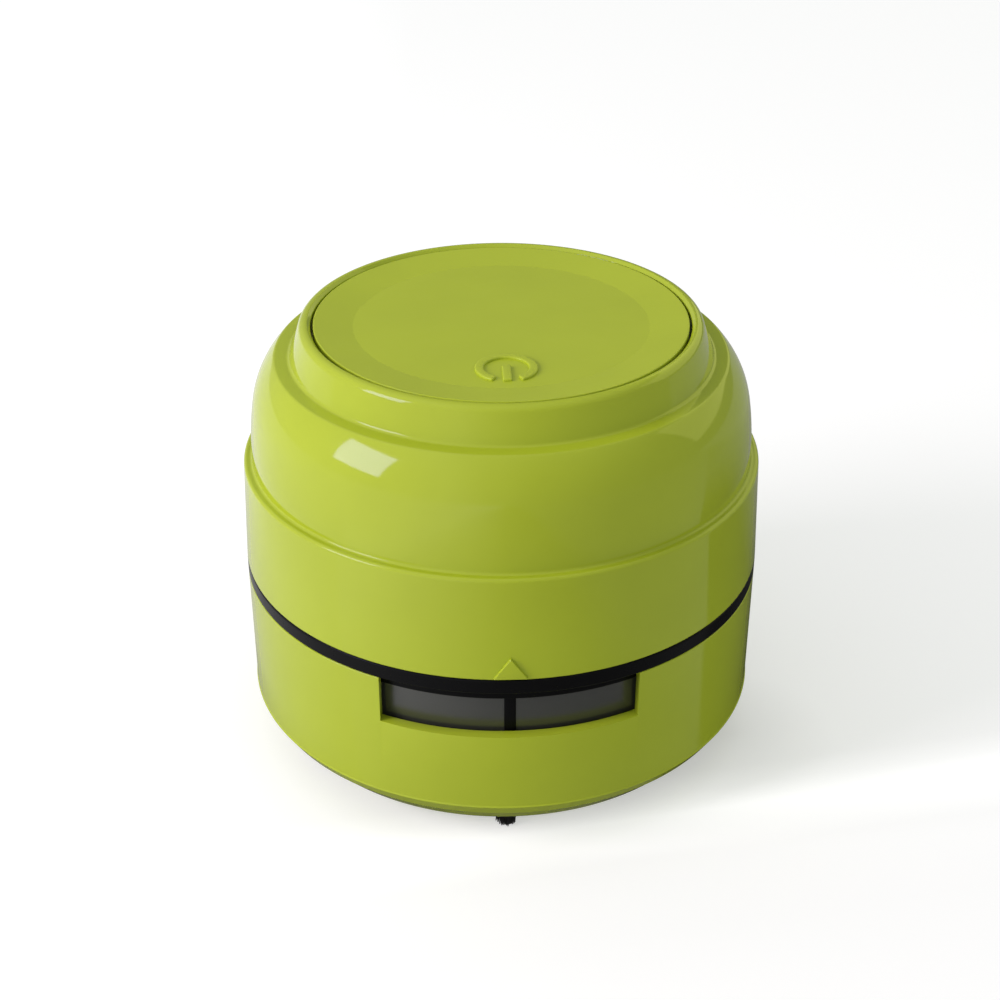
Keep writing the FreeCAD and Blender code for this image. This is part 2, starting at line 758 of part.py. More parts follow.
def charge_board():
    half = charge_board_width / 2
    board = rounded_block((-half, half), (charge_board_front, charge_board_back),
                          (charge_board_bottom, charge_board_top), board_corner)
    holes = charge_posts(charge_board_bottom, charge_board_top, small_screw_radius + running_clearance)
    return board.cut(holes[:2])


def board_screws():
    """Short screws through the charging board into its front posts."""
    screws = []
    for spot in charge_post_spots()[:2]:
        screw = turned([
            (0, -charge_board_lift), (small_screw_radius, -charge_board_lift),
            (small_screw_radius, board_thickness),
            (small_head_radius, board_thickness),
            (small_head_radius, board_thickness + small_head_height, small_head_height / 2),
            (0, board_thickness + small_head_height)])
        screw.translate(spot + Vector(0, 0, charge_board_bottom))
        screws.append(screw)
    return Part.makeCompound(screws)


def charge_socket():
    """Steel shell of the charging socket, open at its mouth."""
    back = socket_mouth - socket_length
    shell = extruded(socket_outline(back, 0.0), Vector(0, socket_length, 0))
    hollow = extruded(socket_outline(back + socket_wall, -socket_wall), Vector(0, socket_length, 0))
    return shell.cut(hollow)


def socket_tongue():
    back = socket_mouth - socket_length + socket_wall
    return block((-tongue_width / 2, tongue_width / 2), (back, socket_mouth - 2 * socket_wall),
                 (socket_level - tongue_thickness / 2, socket_level + tongue_thickness / 2))


def board_components():
    """Charging chip, coil and two capacitors on the board."""
    side = charge_board_width / 2 - component_inset
    middle = (charge_board_front + charge_board_back) / 2
    front = charge_board_front + charge_post_inset
    sizes = ((chip_width / 2 - side, middle, chip_width, chip_length, chip_height),
             (side - coil_size / 2, middle, coil_size, coil_size, coil_height),
             (-capacitor_width, front, capacitor_width, capacitor_length, capacitor_height),
             (capacitor_width, front, capacitor_width, capacitor_length, capacitor_height))
    low = charge_board_top
    parts = [rounded_block((x - w / 2, x + w / 2), (y - d / 2, y + d / 2), (low, low + h), component_fillet)
             for x, y, w, d, h in sizes]
    return Part.makeCompound(parts)


# ---- filter basket --------------------------------------------------------------------------
def filter_frame():
    """Black frame: band between the housings, spigot above it, posts and foot ring below."""
    foot = cup_top - basket_depth
    skirt_bottom = cup_top - skirt_height
    shoulder = cup_top + mesh_ledge
    groove_low = band_top + (spigot_height - seal_height) / 2
    groove_high = groove_low + seal_height
    head = turned([
        (mesh_radius, skirt_bottom), (basket_radius, skirt_bottom), (basket_radius, cup_top),
        (body_radius, cup_top, band_edge), (body_radius, band_top, band_edge),
        (spigot_radius, band_top), (spigot_radius, groove_low), (spigot_radius - seal_depth, groove_low),
        (spigot_radius - seal_depth, groove_high), (spigot_radius, groove_high),
        (spigot_radius, spigot_top, band_edge), (spigot_bore, spigot_top), (spigot_bore, shoulder),
        (mesh_radius, shoulder)])
    foot_ring = ring(mesh_radius, basket_radius, foot, foot + basket_foot_height)
    cage = ring(mesh_radius, basket_radius, foot + basket_foot_height / 2, skirt_bottom + skirt_height / 2)
    bar = block((0, body_radius), (-post_width / 2, post_width / 2),
                (foot + basket_foot_height / 2, skirt_bottom + skirt_height / 2))
    posts = [cage.common(each) for each in circled(bar, post_count, -90)]
    return merged(head, foot_ring, *posts)


def filter_mesh():
    """Sleeve of fine mesh inside the posts."""
    foot = cup_top - basket_depth
    return ring(mesh_radius - mesh_thickness, mesh_radius, foot + mesh_thickness, cup_top + mesh_ledge)


def seal_ring():
    groove_low = band_top + (spigot_height - seal_height) / 2
    inner = spigot_radius - seal_depth
    outer = housing_bore - carrier_slope * spigot_height - seal_clearance
    return turned([
        (inner, groove_low + running_clearance), (outer, groove_low + running_clearance, seal_fillet),
        (outer, groove_low + seal_height - running_clearance, seal_fillet),
        (inner, groove_low + seal_height - running_clearance)])


# ---- dust cup and base ----------------------------------------------------------------------
def dust_cup():
    foot_wall = body_radius - cup_foot_draft
    chimney_outside = chimney_bore_radius + chimney_wall
    cup = turned([
        (chimney_bore_radius, base_top), (cup_foot_radius, base_top),
        (foot_wall, base_top + cup_foot_height, cup_foot_fillet), (body_radius, cup_top),
        (cup_inner_radius, cup_top), (cup_inner_radius, floor_level, cup_inner_fillet),
        (chimney_outside, floor_level, cup_inner_fillet), (chimney_outside, chimney_top, chimney_lip_fillet),
        (chimney_bore_radius, chimney_top, chimney_lip_fillet)])
    bosses = []
    pilots = []
    for angle in base_screw_angles:
        spot = polar(base_screw_circle, angle)
        bosses.append(rod(base_boss_radius, floor_level - cup_floor / 2, floor_level + base_boss_height,
                          spot.x, spot.y))
        tip = ground_clearance + recess_depth + screw_length + pilot_spare / 2
        pilots.append(rod(screw_radius + running_clearance, base_top, tip, spot.x, spot.y))
    window = block((-window_width / 2, window_width / 2), (-2 * body_radius, -body_radius / 2),
                   (window_sill, cup_top))
    return merged(cup, *bosses).cut(pilots + [window])


def tuft_spots():
    return [polar(tuft_circle_radius, -90 + 360.0 * i / tuft_count) for i in range(tuft_count)]


def base_plate():
    bottom = ground_clearance
    recess = bottom + recess_depth
    plate = turned([
        (chimney_bore_radius + inlet_flare, bottom), (recess_inner_radius, bottom, recess_depth / 2),
        (recess_inner_radius + recess_depth, recess), (recess_outer_radius - recess_depth, recess),
        (recess_outer_radius, bottom, recess_depth / 2), (base_bottom_radius, bottom, band_edge),
        (cup_foot_radius - base_bevel_inset, base_top), (chimney_bore_radius, base_top),
        (chimney_bore_radius, bottom + inlet_flare)])
    cuts = [rod(tuft_radius + running_clearance, bottom, bottom + tuft_socket_depth, spot.x, spot.y)
            for spot in tuft_spots()]
    for angle in base_screw_angles:
        cuts.append(countersunk_screw(polar(base_screw_circle, angle), recess, screw_radius,
                                      screw_head_radius, screw_head_height, screw_length,
                                      running_clearance))
    return plate.cut(cuts)


def base_screws():
    level = ground_clearance + recess_depth
    return Part.makeCompound([
        countersunk_screw(polar(base_screw_circle, angle), level, screw_radius, screw_head_radius,
                          screw_head_height, screw_length) for angle in base_screw_angles])


def brush_tuft(spot):
    """A bundle of bristles, a little fuller at its tip."""
    top = ground_clearance + tuft_socket_depth
    tuft = turned([
        (0, 0), (tuft_radius + tuft_flare, 0), (tuft_radius, ground_clearance * 0.8),
        (tuft_radius, top), (0, top)])
    tuft.translate(spot)
    return tuft


# ---- the whole object -----------------------------------------------------------------------
def build():
    nodes = {
        "upper_housing": upper_housing(),
        "power_button": power_button(),
        "button_spring": button_spring(),
        "switch_body": switch_body(),
        "switch_plunger": switch_plunger(),
        "switch_board": switch_board(),
        "switch_screws": switch_screws(),
        "motor_can": motor_can(),
        "motor_end_cap": motor_end_cap(),
        "motor_terminals": motor_terminals(),
        "motor_screws": motor_screws(),
        "motor_carrier": motor_carrier(),
        "carrier_screws": carrier_screws(),
        "motor_shaft": motor_shaft(),
        "impeller": impeller(),
        "battery_cell": battery_cell(),
        "battery_tabs": battery_tabs(),
        "charge_board": charge_board(),
        "charge_socket": charge_socket(),
        "socket_tongue": socket_tongue(),
        "board_components": board_components(),
        "board_screws": board_screws(),
        "filter_frame": filter_frame(),
        "filter_mesh": filter_mesh(),
        "seal_ring": seal_ring(),
        "dust_cup": dust_cup(),
        "base_plate": base_plate(),
        "base_screws": base_screws(),
    }
    for i, spot in enumerate(tuft_spots()):
        nodes["brush_tuft_%d" % (i + 1)] = brush_tuft(spot)
    return nodes


os.makedirs("parts", exist_ok=True)
for name, shape in build().items():
    if not shape.isValid():
        print("not valid:", name)
    shape.exportStep("parts/%s.step" % name)
    print("%-18s solids %d  volume %.1f" % (name, len(shape.Solids), shape.Volume))
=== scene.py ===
import math
import random

import bpy
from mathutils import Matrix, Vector


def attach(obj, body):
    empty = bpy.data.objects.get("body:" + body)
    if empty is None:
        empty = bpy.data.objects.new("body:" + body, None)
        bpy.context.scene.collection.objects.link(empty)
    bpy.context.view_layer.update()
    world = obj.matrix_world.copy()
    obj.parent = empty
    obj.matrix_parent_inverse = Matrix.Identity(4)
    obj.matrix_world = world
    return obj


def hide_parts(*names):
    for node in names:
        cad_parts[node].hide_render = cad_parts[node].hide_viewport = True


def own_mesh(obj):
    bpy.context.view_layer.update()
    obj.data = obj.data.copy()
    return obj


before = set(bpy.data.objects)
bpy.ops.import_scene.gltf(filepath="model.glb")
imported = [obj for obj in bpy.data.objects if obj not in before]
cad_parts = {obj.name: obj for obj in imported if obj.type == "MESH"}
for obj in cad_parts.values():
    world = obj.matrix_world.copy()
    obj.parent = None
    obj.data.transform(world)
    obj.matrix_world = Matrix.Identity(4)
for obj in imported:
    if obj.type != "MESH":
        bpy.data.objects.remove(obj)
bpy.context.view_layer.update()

# Desktop mini vacuum cleaner. Sizes are in millimetres, levels are heights above the desk.
# Origin on the desk at the middle of the brushes, +Z up, the exhaust window faces -Y.
mm = 0.001
sides = 256                  # facets round a turned piece

body_radius = 42.3
base_bottom = 4.0
base_top = 7.3
base_bottom_radius = 37.9
cup_foot_radius = 41.0
cup_floor_level = 9.1
cup_inner_radius = 40.55
cup_top = 30.8
chimney_bore = 11.5
chimney_outside = 13.0
chimney_top = 18.6
window_half_width = 19.7
window_sill = 22.8
tuft_circle = 33.7
tuft_socket_depth = 2.4
base_screw_circle = 23.0
plate_recess_level = 5.0
foot_height = 2.1            # the cup's bevel at its foot, up to the fine bead
band_top = 33.3
mesh_radius = 39.0
basket_radius = 40.2
basket_foot = 19.6
mesh_bottom = 21.6
mesh_top = 28.7
skirt_bottom = 28.5
spigot_top = 36.5
spigot_bore = 38.6
spigot_radius = 40.225
housing_bore = 40.5
housing_wall = 1.8
carrier_bottom = 37.7
carrier_top = 39.5
step_level = 50.5
wall_top_radius = 41.7
dome_foot_radius = 40.35
dome_foot_level = 52.0
crest_turn = 42.92           # degrees; the dome ends here, in a small crest
crest_radius = 0.6
ledge_width = 2.12
collar_height = 5.5
collar_lean = 1.965
rim_width = 1.66
well_depth = 6.0
deck_thickness = 1.5
switch_offset = 17.0
spring_wire = 0.25           # radius
spring_coil = 5.5            # radius
spring_turns = 2.5
boss_circle = 36.6
motor_cup_bottom = 31.2
mark_centre = -16.9          # the power mark, on the Y axis
socket_level = 44.33
screw_angles = (30, 150, 270)
housing_screw = (1.1, 2.1, 1.2, 7.0)    # radius, head radius, head height, length
motor_screw = (0.8, 1.6, 0.9, 4.2)
shadow_slope = 0.176         # the shadow's front edge runs back by this share as it goes right


# ---- turning and cutting --------------------------------------------------------------------
def arc(centre, radius, start, end, steps):
    """Section points along an arc, from one angle to another in degrees."""
    points = []
    for i in range(1, steps + 1):
        turn = math.radians(start + (end - start) * i / steps)
        points.append((centre[0] + radius * math.cos(turn), centre[1] + radius * math.sin(turn)))
    return points


def eased(corners, steps=6, hold=0.18, share=0.45):
    """Section points of a run of corners (radius, level, easing): each easing is a short arc.

    An easing takes no more than this share of a run, and a point on either side holds the rest flat.
    """
    points = []
    last = len(corners) - 1
    for i, corner in enumerate(corners):
        spot = Vector(corner[:2])
        if len(corner) == 2 or i in (0, last):
            points.append(tuple(spot))
            continue
        before = Vector(corners[i - 1][:2]) - spot
        after = Vector(corners[i + 1][:2]) - spot
        to_before = before.normalized()
        to_after = after.normalized()
        half = to_before.angle(to_after) / 2
        reach = min(corner[2] / math.tan(half), share * before.length, share * after.length)
        radius = reach * math.tan(half)
        centre = spot + (to_before + to_after).normalized() * (radius / math.sin(half))
        entry = spot + to_before * reach
        leaving = spot + to_after * reach
        if before.length - reach > 3 * hold:
            points.append(tuple(entry + to_before * hold))
        start = (entry - centre).normalized()
        end = (leaving - centre).normalized()
        for k in range(steps + 1):
            way = start.slerp(end, k / steps)
            points.append(tuple(centre + way * radius))
        if after.length - reach > 3 * hold:
            points.append(tuple(leaving + to_after * hold))
    return points


def deselect():
    bpy.ops.object.select_all(action="DESELECT")


def pick(*pieces):
    """Only these pieces selected, the first one active."""
    deselect()
    for piece in pieces:
        piece.select_set(True)
    bpy.context.view_layer.objects.active = pieces[0]


def settle(piece, name=None):
    """The piece's place goes into its mesh."""
    if name:
        piece.name = name
        piece.data.name = name
    pick(piece)
    bpy.ops.object.transform_apply(location=True, rotation=True, scale=True)
    return piece


def clean(piece):
    """Doubled points are merged and every face points outwards."""
    pick(piece)
    bpy.ops.object.mode_set(mode="EDIT")
    bpy.ops.mesh.select_all(action="SELECT")
    bpy.ops.mesh.remove_doubles(threshold=0.002 * mm)
    bpy.ops.mesh.normals_make_consistent(inside=False)
    bpy.ops.object.mode_set(mode="OBJECT")
    return piece


def turned(name, section, facets=sides):
    """A turned piece: a ring is drawn out along its section (radius, level) and closed on itself.

    A section that starts or ends on the axis is closed there by a flat face.
    """
    deselect()
    capped = section[0][0] == 0
    path = section[1:] if capped else section
    radius, level = path[0]
    bpy.ops.mesh.primitive_circle_add(vertices=facets, radius=radius * mm, location=(0, 0, level * mm),
                                      fill_type="TRIFAN" if capped else "NOTHING")
    piece = settle(bpy.context.object, name)
    bpy.ops.object.mode_set(mode="EDIT")
    bpy.ops.mesh.select_all(action="SELECT")
    if capped:
        bpy.ops.mesh.region_to_loop()
    for next_radius, next_level in path[1:]:
        if next_radius == 0:
            bpy.ops.mesh.extrude_edges_move(TRANSFORM_OT_translate={"value": (0, 0, 0)})
            bpy.ops.mesh.merge(type="CENTER")
            break
        bpy.ops.mesh.extrude_edges_move(TRANSFORM_OT_translate={"value": (0, 0, (next_level - level) * mm)})
        grow = next_radius / radius
        bpy.ops.transform.resize(value=(grow, grow, 1), center_override=(0, 0, 0))
        radius, level = next_radius, next_level
    bpy.ops.object.mode_set(mode="OBJECT")
    return clean(piece)


def block(low, high, name="block"):
    """A box between two corners."""
    centre = [(a + b) / 2 * mm for a, b in zip(low, high)]
    deselect()
    bpy.ops.mesh.primitive_cube_add(size=1, location=centre)
    piece = bpy.context.object
    piece.scale = [(b - a) * mm for a, b in zip(low, high)]
    return settle(piece, name)


def rod(radius, low, high, spot=(0, 0), facets=48, name="rod"):
    """An upright rod between two levels."""
    deselect()
    bpy.ops.mesh.primitive_cylinder_add(vertices=facets, radius=radius * mm, depth=(high - low) * mm,
                                        location=(spot[0] * mm, spot[1] * mm, (low + high) / 2 * mm))
    return settle(bpy.context.object, name)


def finish_modifier(piece, kind, **values):
    """Adds a modifier with these settings and applies it."""
    modifier = piece.modifiers.new("work", kind)
    for key, value in values.items():
        setattr(modifier, key, value)
    pick(piece)
    bpy.ops.object.modifier_apply(modifier=modifier.name)
    return piece


def cut(piece, *tools):
    """Takes each tool's shape out of the piece."""
    for tool in tools:
        finish_modifier(piece, "BOOLEAN", operation="DIFFERENCE", solver="EXACT", object=tool)
        bpy.data.objects.remove(tool)
    return piece


def weld(piece, *others):
    """Makes the others part of the piece."""
    for other in others:
        finish_modifier(piece, "BOOLEAN", operation="UNION", solver="EXACT", object=other)
        bpy.data.objects.remove(other)
    return piece


def soften(piece, width, angle=40, segments=2):
    """Eases every sharp edge by a small width."""
    return finish_modifier(piece, "BEVEL", width=width * mm, segments=segments, limit_method="ANGLE",
                           angle_limit=math.radians(angle))


def join(piece, *others):
    """One piece from several."""
    pick(piece, *others)
    bpy.ops.object.join()
    return piece


def turn_piece(piece, degrees):
    """The piece itself, turned about the vacuum's axis."""
    piece.rotation_euler[2] = math.radians(degrees)
    return settle(piece)


def turn_copy(piece, degrees):
    """A copy with its own mesh, turned about the vacuum's axis."""
    pick(piece)
    bpy.ops.object.duplicate(linked=False)
    return turn_piece(bpy.context.object, degrees)


def smooth(piece, angle=35):
    pick(piece)
    bpy.ops.object.shade_smooth_by_angle(angle=math.radians(angle))
    return piece


def polar(radius, degrees):
    turn = math.radians(degrees)
    return radius * math.cos(turn), radius * math.sin(turn)


def seat(piece, body, slot, *nodes):
    """Gives the piece its finish, and puts it on its body in place of these nodes."""
    piece.data.materials.clear()
    piece.data.materials.append(finishes[slot])
    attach(piece, body)
    if nodes:
        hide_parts(*nodes)
    return piece


# ---- finishes -------------------------------------------------------------------------------
def new_finish(name):
    finish = bpy.data.materials.new(name)
    finish.use_nodes = True
    return finish, finish.node_tree.nodes, finish.node_tree.links


def place(nodes, links, stretch=(1, 1, 1)):
    """Object coordinates, stretched along the axes."""
    where = nodes.new("ShaderNodeTexCoord")
    mapping = nodes.new("ShaderNodeMapping")
    mapping.inputs["Scale"].default_value = stretch
    links.new(where.outputs["Object"], mapping.inputs["Vector"])
    return mapping.outputs["Vector"]


def noise(nodes, links, vector, scale, detail=3.0, rough=0.55):
    texture = nodes.new("ShaderNodeTexNoise")
    texture.inputs["Scale"].default_value = scale
    texture.inputs["Detail"].default_value = detail
    texture.inputs["Roughness"].default_value = rough
    links.new(vector, texture.inputs["Vector"])
    return texture.outputs["Fac"]


def spread(nodes, links, value, low, high, start=0.3, end=0.7):
    """Lays a pattern's values out between low and high."""
    scale = nodes.new("ShaderNodeMapRange")
    scale.inputs["From Min"].default_value = start
    scale.inputs["From Max"].default_value = end
    scale.inputs["To Min"].default_value = low
    scale.inputs["To Max"].default_value = high
    links.new(value, scale.inputs["Value"])
    return scale.outputs["Result"]


def tint(nodes, links, value, dark, light):
    """A colour between two, by a pattern's value."""
    mix = nodes.new("ShaderNodeMix")
    mix.data_type = "RGBA"
    mix.inputs["A"].default_value = (*dark, 1)
    mix.inputs["B"].default_value = (*light, 1)
    links.new(value, mix.inputs["Factor"])
    return mix.outputs["Result"]


def relief(nodes, links, shader, height, depth, strength=1.0):
    """A fine relief in the skin, depth in millimetres."""
    bump = nodes.new("ShaderNodeBump")
    bump.inputs["Distance"].default_value = depth * mm
    bump.inputs["Strength"].default_value = strength
    links.new(height, bump.inputs["Height"])
    links.new(bump.outputs["Normal"], shader.inputs["Normal"])


def toned(colour, factor):
    return tuple(channel * factor for channel in colour)


def moulded(name, colour, low, high, grain, depth, sheen=0.5, coat=0.0):
    """Moulded plastic: the colour drifts a little, the gloss varies, a fine skin catches the light."""
    finish, nodes, links = new_finish(name)
    shader = nodes["Principled BSDF"]
    vector = place(nodes, links)
    drift = spread(nodes, links, noise(nodes, links, vector, 42, 3), 0, 1)
    links.new(tint(nodes, links, drift, toned(colour, 0.965), toned(colour, 1.03)), shader.inputs["Base Color"])
    gloss = noise(nodes, links, vector, 160, 6, 0.65)
    links.new(spread(nodes, links, gloss, low, high), shader.inputs["Roughness"])
    relief(nodes, links, shader, noise(nodes, links, vector, grain, 4), depth)
    shader.inputs["Specular IOR Level"].default_value = sheen
    shader.inputs["Coat Weight"].default_value = coat
    shader.inputs["Coat Roughness"].default_value = 0.04
    return finish


def worked_metal(name, colour, low, high, stretch, grain, depth):
    """Drawn, rolled or plated metal: fine streaks along one way and a slightly uneven gloss."""
    finish, nodes, links = new_finish(name)
    shader = nodes["Principled BSDF"]
    shader.inputs["Metallic"].default_value = 1.0
    streaks = noise(nodes, links, place(nodes, links, stretch), grain, 4)
    bloom = noise(nodes, links, place(nodes, links), 230, 4)
    links.new(tint(nodes, links, spread(nodes, links, bloom, 0, 1), toned(colour, 0.86), colour),
              shader.inputs["Base Color"])
    links.new(spread(nodes, links, streaks, low, high), shader.inputs["Roughness"])
    relief(nodes, links, shader, streaks, depth)
    return finish


def mesh_weave(name):
    """Fine woven filter mesh: threads round and along the sleeve with dark gaps between."""
    finish, nodes, links = new_finish(name)
    shader = nodes["Principled BSDF"]
    where = nodes.new("ShaderNodeTexCoord")
    parts = nodes.new("ShaderNodeSeparateXYZ")
    links.new(where.outputs["Object"], parts.inputs["Vector"])
    turn = nodes.new("ShaderNodeMath")
    turn.operation = "ARCTAN2"
    links.new(parts.outputs["X"], turn.inputs[0])
    links.new(parts.outputs["Y"], turn.inputs[1])
    waves = []
    for source, pace in ((turn.outputs["Value"], 840.0), (parts.outputs["Z"], 840.0 / (mesh_radius * mm))):
        count = nodes.new("ShaderNodeMath")
        count.operation = "MULTIPLY"
        count.inputs[1].default_value = pace
        links.new(source, count.inputs[0])
        wave = nodes.new("ShaderNodeMath")
        wave.operation = "SINE"
        links.new(count.outputs["Value"], wave.inputs[0])
        waves.append(wave.outputs["Value"])
    over = nodes.new("ShaderNodeMath")
    over.operation = "MAXIMUM"
    links.new(waves[0], over.inputs[0])
    links.new(waves[1], over.inputs[1])
    threads = spread(nodes, links, over.outputs["Value"], 0, 1, -0.4, 0.8)
    shader.inputs["IOR"].default_value = 1.88
    links.new(tint(nodes, links, threads, (0.025, 0.026, 0.022), (0.032, 0.033, 0.027)),
              shader.inputs["Base Color"])
    links.new(spread(nodes, links, threads, 0.27, 0.23, 0, 1), shader.inputs["Roughness"])
    relief(nodes, links, shader, threads, 0.003)
    return finish


def nylon_bristle(name):
    """Black nylon: streaks along each bristle, a paler worn tip."""
    finish, nodes, links = new_finish(name)
    shader = nodes["Principled BSDF"]
    where = nodes.new("ShaderNodeTexCoord")
    parts = nodes.new("ShaderNodeSeparateXYZ")
    links.new(where.outputs["Object"], parts.inputs["Vector"])
    streaks = noise(nodes, links, place(nodes, links, (1, 1, 0.08)), 3200, 3)
    tip = spread(nodes, links, parts.outputs["Z"], 1, 0, 0.0, 1.2 * mm)
    blend = nodes.new("ShaderNodeMath")
    blend.operation = "MULTIPLY"
    links.new(streaks, blend.inputs[0])
    links.new(tip, blend.inputs[1])
    links.new(tint(nodes, links, blend.outputs["Value"], (0.010, 0.010, 0.011), (0.06, 0.058, 0.05)),
              shader.inputs["Base Color"])
    links.new(spread(nodes, links, streaks, 0.32, 0.55), shader.inputs["Roughness"])
    relief(nodes, links, shader, streaks, 0.01)
    return finish


def soft_rubber(name):
    finish, nodes, links = new_finish(name)
    shader = nodes["Principled BSDF"]
    vector = place(nodes, links)
    dust = spread(nodes, links, noise(nodes, links, vector, 420, 6, 0.7), 0, 1, 0.45, 0.8)
    links.new(tint(nodes, links, dust, (0.028, 0.028, 0.029), (0.06, 0.059, 0.056)),
              shader.inputs["Base Color"])
    links.new(spread(nodes, links, dust, 0.62, 0.82, 0, 1), shader.inputs["Roughness"])
    shader.inputs["Sheen Weight"].default_value = 0.15
    relief(nodes, links, shader, noise(nodes, links, vector, 2600, 3), 0.01)
    return finish


def printed_board(name):
    """Green solder mask over copper tracks."""
    finish, nodes, links = new_finish(name)
    shader = nodes["Principled BSDF"]
    vector = place(nodes, links)
    cells = nodes.new("ShaderNodeTexVoronoi")
    cells.distance = "MANHATTAN"
    cells.feature = "F1"
    cells.inputs["Scale"].default_value = 420
    links.new(vector, cells.inputs["Vector"])
    tracks = spread(nodes, links, cells.outputs["Distance"], 0, 1, 0.42, 0.5)
    links.new(tint(nodes, links, tracks, (0.008, 0.085, 0.030), (0.018, 0.150, 0.055)),
              shader.inputs["Base Color"])
    links.new(spread(nodes, links, noise(nodes, links, vector, 900, 3), 0.22, 0.38), shader.inputs["Roughness"])
    relief(nodes, links, shader, tracks, 0.03)
    return finish


def shrink_sleeve(name):
    """Thin shrunk sleeve of the cell, with faint creases."""
    finish, nodes, links = new_finish(name)
    shader = nodes["Principled BSDF"]
    creases = noise(nodes, links, place(nodes, links, (1, 0.15, 1)), 260, 4)
    links.new(tint(nodes, links, spread(nodes, links, creases, 0, 1), (0.012, 0.055, 0.20),
                   (0.02, 0.075, 0.26)), shader.inputs["Base Color"])
    links.new(spread(nodes, links, creases, 0.22, 0.36), shader.inputs["Roughness"])
    relief(nodes, links, shader, creases, 0.03)
    return finish


lime = (0.376, 0.455, 0.022)
finishes = {
    "lime_gloss": moulded("lime_gloss", lime, 0.05, 0.10, 900, 0.0012),
    "lime_satin": moulded("lime_satin", (0.408, 0.490, 0.025), 0.38, 0.46, 5200, 0.006, sheen=0.4),
    "black_plastic": moulded("black_plastic", (0.003, 0.003, 0.0033), 0.22, 0.34, 2600, 0.004, sheen=0.1),
    "filter_mesh": mesh_weave("filter_mesh"),
    "bristle": nylon_bristle("bristle"),
    "seal_rubber": soft_rubber("seal_rubber"),
    "grey_plastic": moulded("grey_plastic", (0.115, 0.118, 0.122), 0.34, 0.48, 3000, 0.006),
    "motor_steel": worked_metal("motor_steel", (0.58, 0.57, 0.55), 0.24, 0.38, (1, 1, 0.06), 1500, 0.004),
    "screw_steel": worked_metal("screw_steel", (0.55, 0.55, 0.56), 0.22, 0.36, (1, 1, 1), 2400, 0.004),
    "spring_steel": worked_metal("spring_steel", (0.50, 0.50, 0.51), 0.20, 0.32, (1, 1, 1), 1800, 0.003),
    "white_plastic": moulded("white_plastic", (0.72, 0.70, 0.65), 0.35, 0.5, 2400, 0.006),
    "brass": worked_metal("brass", (0.72, 0.50, 0.20), 0.22, 0.34, (1, 1, 0.2), 2200, 0.004),
    "nickel": worked_metal("nickel", (0.66, 0.64, 0.60), 0.20, 0.34, (1, 0.2, 1), 1800, 0.004),
    "cell_wrap": shrink_sleeve("cell_wrap"),
    "circuit_board": printed_board("circuit_board"),
    "chip_black": moulded("chip_black", (0.016, 0.016, 0.017), 0.42, 0.56, 3600, 0.008),
}


# ---- upper housing --------------------------------------------------------------------------
side_centre = (dome_foot_radius - 48.0, dome_foot_level)
shoulder_centre = (side_centre[0] + 34.0 * math.cos(math.radians(10)),
                   side_centre[1] + 34.0 * math.sin(math.radians(10)))
crest_centre = arc(shoulder_centre, 14.0 - crest_radius, 0, crest_turn, 1)[0]
ledge_level = crest_centre[1] + crest_radius
collar_foot = crest_centre[0] - ledge_width
rim_outer = collar_foot - collar_lean
rim_top = ledge_level + collar_height
rim_inner = rim_outer - rim_width
deck_top = rim_top - well_depth
deck_bottom = deck_top - deck_thickness
top_edge_level = rim_top - 0.75
top_disc_level = top_edge_level - 0.35
top_underside = top_edge_level - 1.45
top_radius = rim_inner - 0.4


def dome(inset, end, steps):
    """The dome's side and shoulder up to a turn in degrees, moved inwards by an inset."""
    return (arc(side_centre, 48.0 - inset, 0, 10, steps)
            + arc(shoulder_centre, 14.0 - inset, 10, end, 2 * steps))


def make_upper_housing():
    foot_in = dome_foot_radius - housing_wall
    ceiling_turn = math.degrees(math.asin((deck_bottom - shoulder_centre[1]) / (14.0 - housing_wall)))
    inside = [(0, deck_bottom)] + list(reversed(dome(housing_wall, ceiling_turn, 5)))
    inside += [(foot_in, dome_foot_level), (foot_in, step_level - housing_wall),
               (wall_top_radius - housing_wall, step_level - housing_wall), (housing_bore, band_top)]
    outside = eased([inside[-1], (body_radius, band_top, 0.3), (wall_top_radius, step_level, 0.55),
                     (dome_foot_radius, step_level, 0.45), (dome_foot_radius, dome_foot_level)], 7)
    crest = arc(crest_centre, crest_radius, crest_turn, 90, 6)
    crown = eased([crest[-1], (collar_foot, ledge_level, 0.6), (rim_outer, rim_top, 1.33),
                   (rim_inner + 0.5, rim_top, 0.22), (rim_inner, rim_top - 0.5, 0.3), (rim_inner, deck_top)],
                  8, 0.12, 0.9)
    middle = [(4.5, deck_top), (4.5, deck_top + 1.2), (0, deck_top + 1.2)]
    section = inside + outside[1:] + dome(0, crest_turn, 10) + crest + crown[1:] + middle
    shell = turned("upper_housing_shell", section)
    bosses = []
    for angle in screw_angles:
        bosses.append(rod(3.0, carrier_top, carrier_top + 12.5, polar(boss_circle, angle)))
    for side in (-7, 7):
        bosses.append(rod(2.2, deck_bottom - 7.2, deck_top - 0.75, (side, -switch_offset)))
    weld(shell, *bosses)
    leg_slot = turn_piece(block((20.7, -2.3, deck_bottom - 0.5), (22.9, 2.3, deck_top + 0.5)), 90)
    leg_slots = [leg_slot, turn_copy(leg_slot, 120), turn_copy(leg_slot, 240)]
    stem_hole = rod(2.6, deck_bottom - 0.5, deck_top + 0.5, (0, -switch_offset))
    cut(shell, *leg_slots, stem_hole, port_slot(4.77, 1.93, 38.0, 44.0))
    weld(shell, join_mark())
    return smooth(shell)


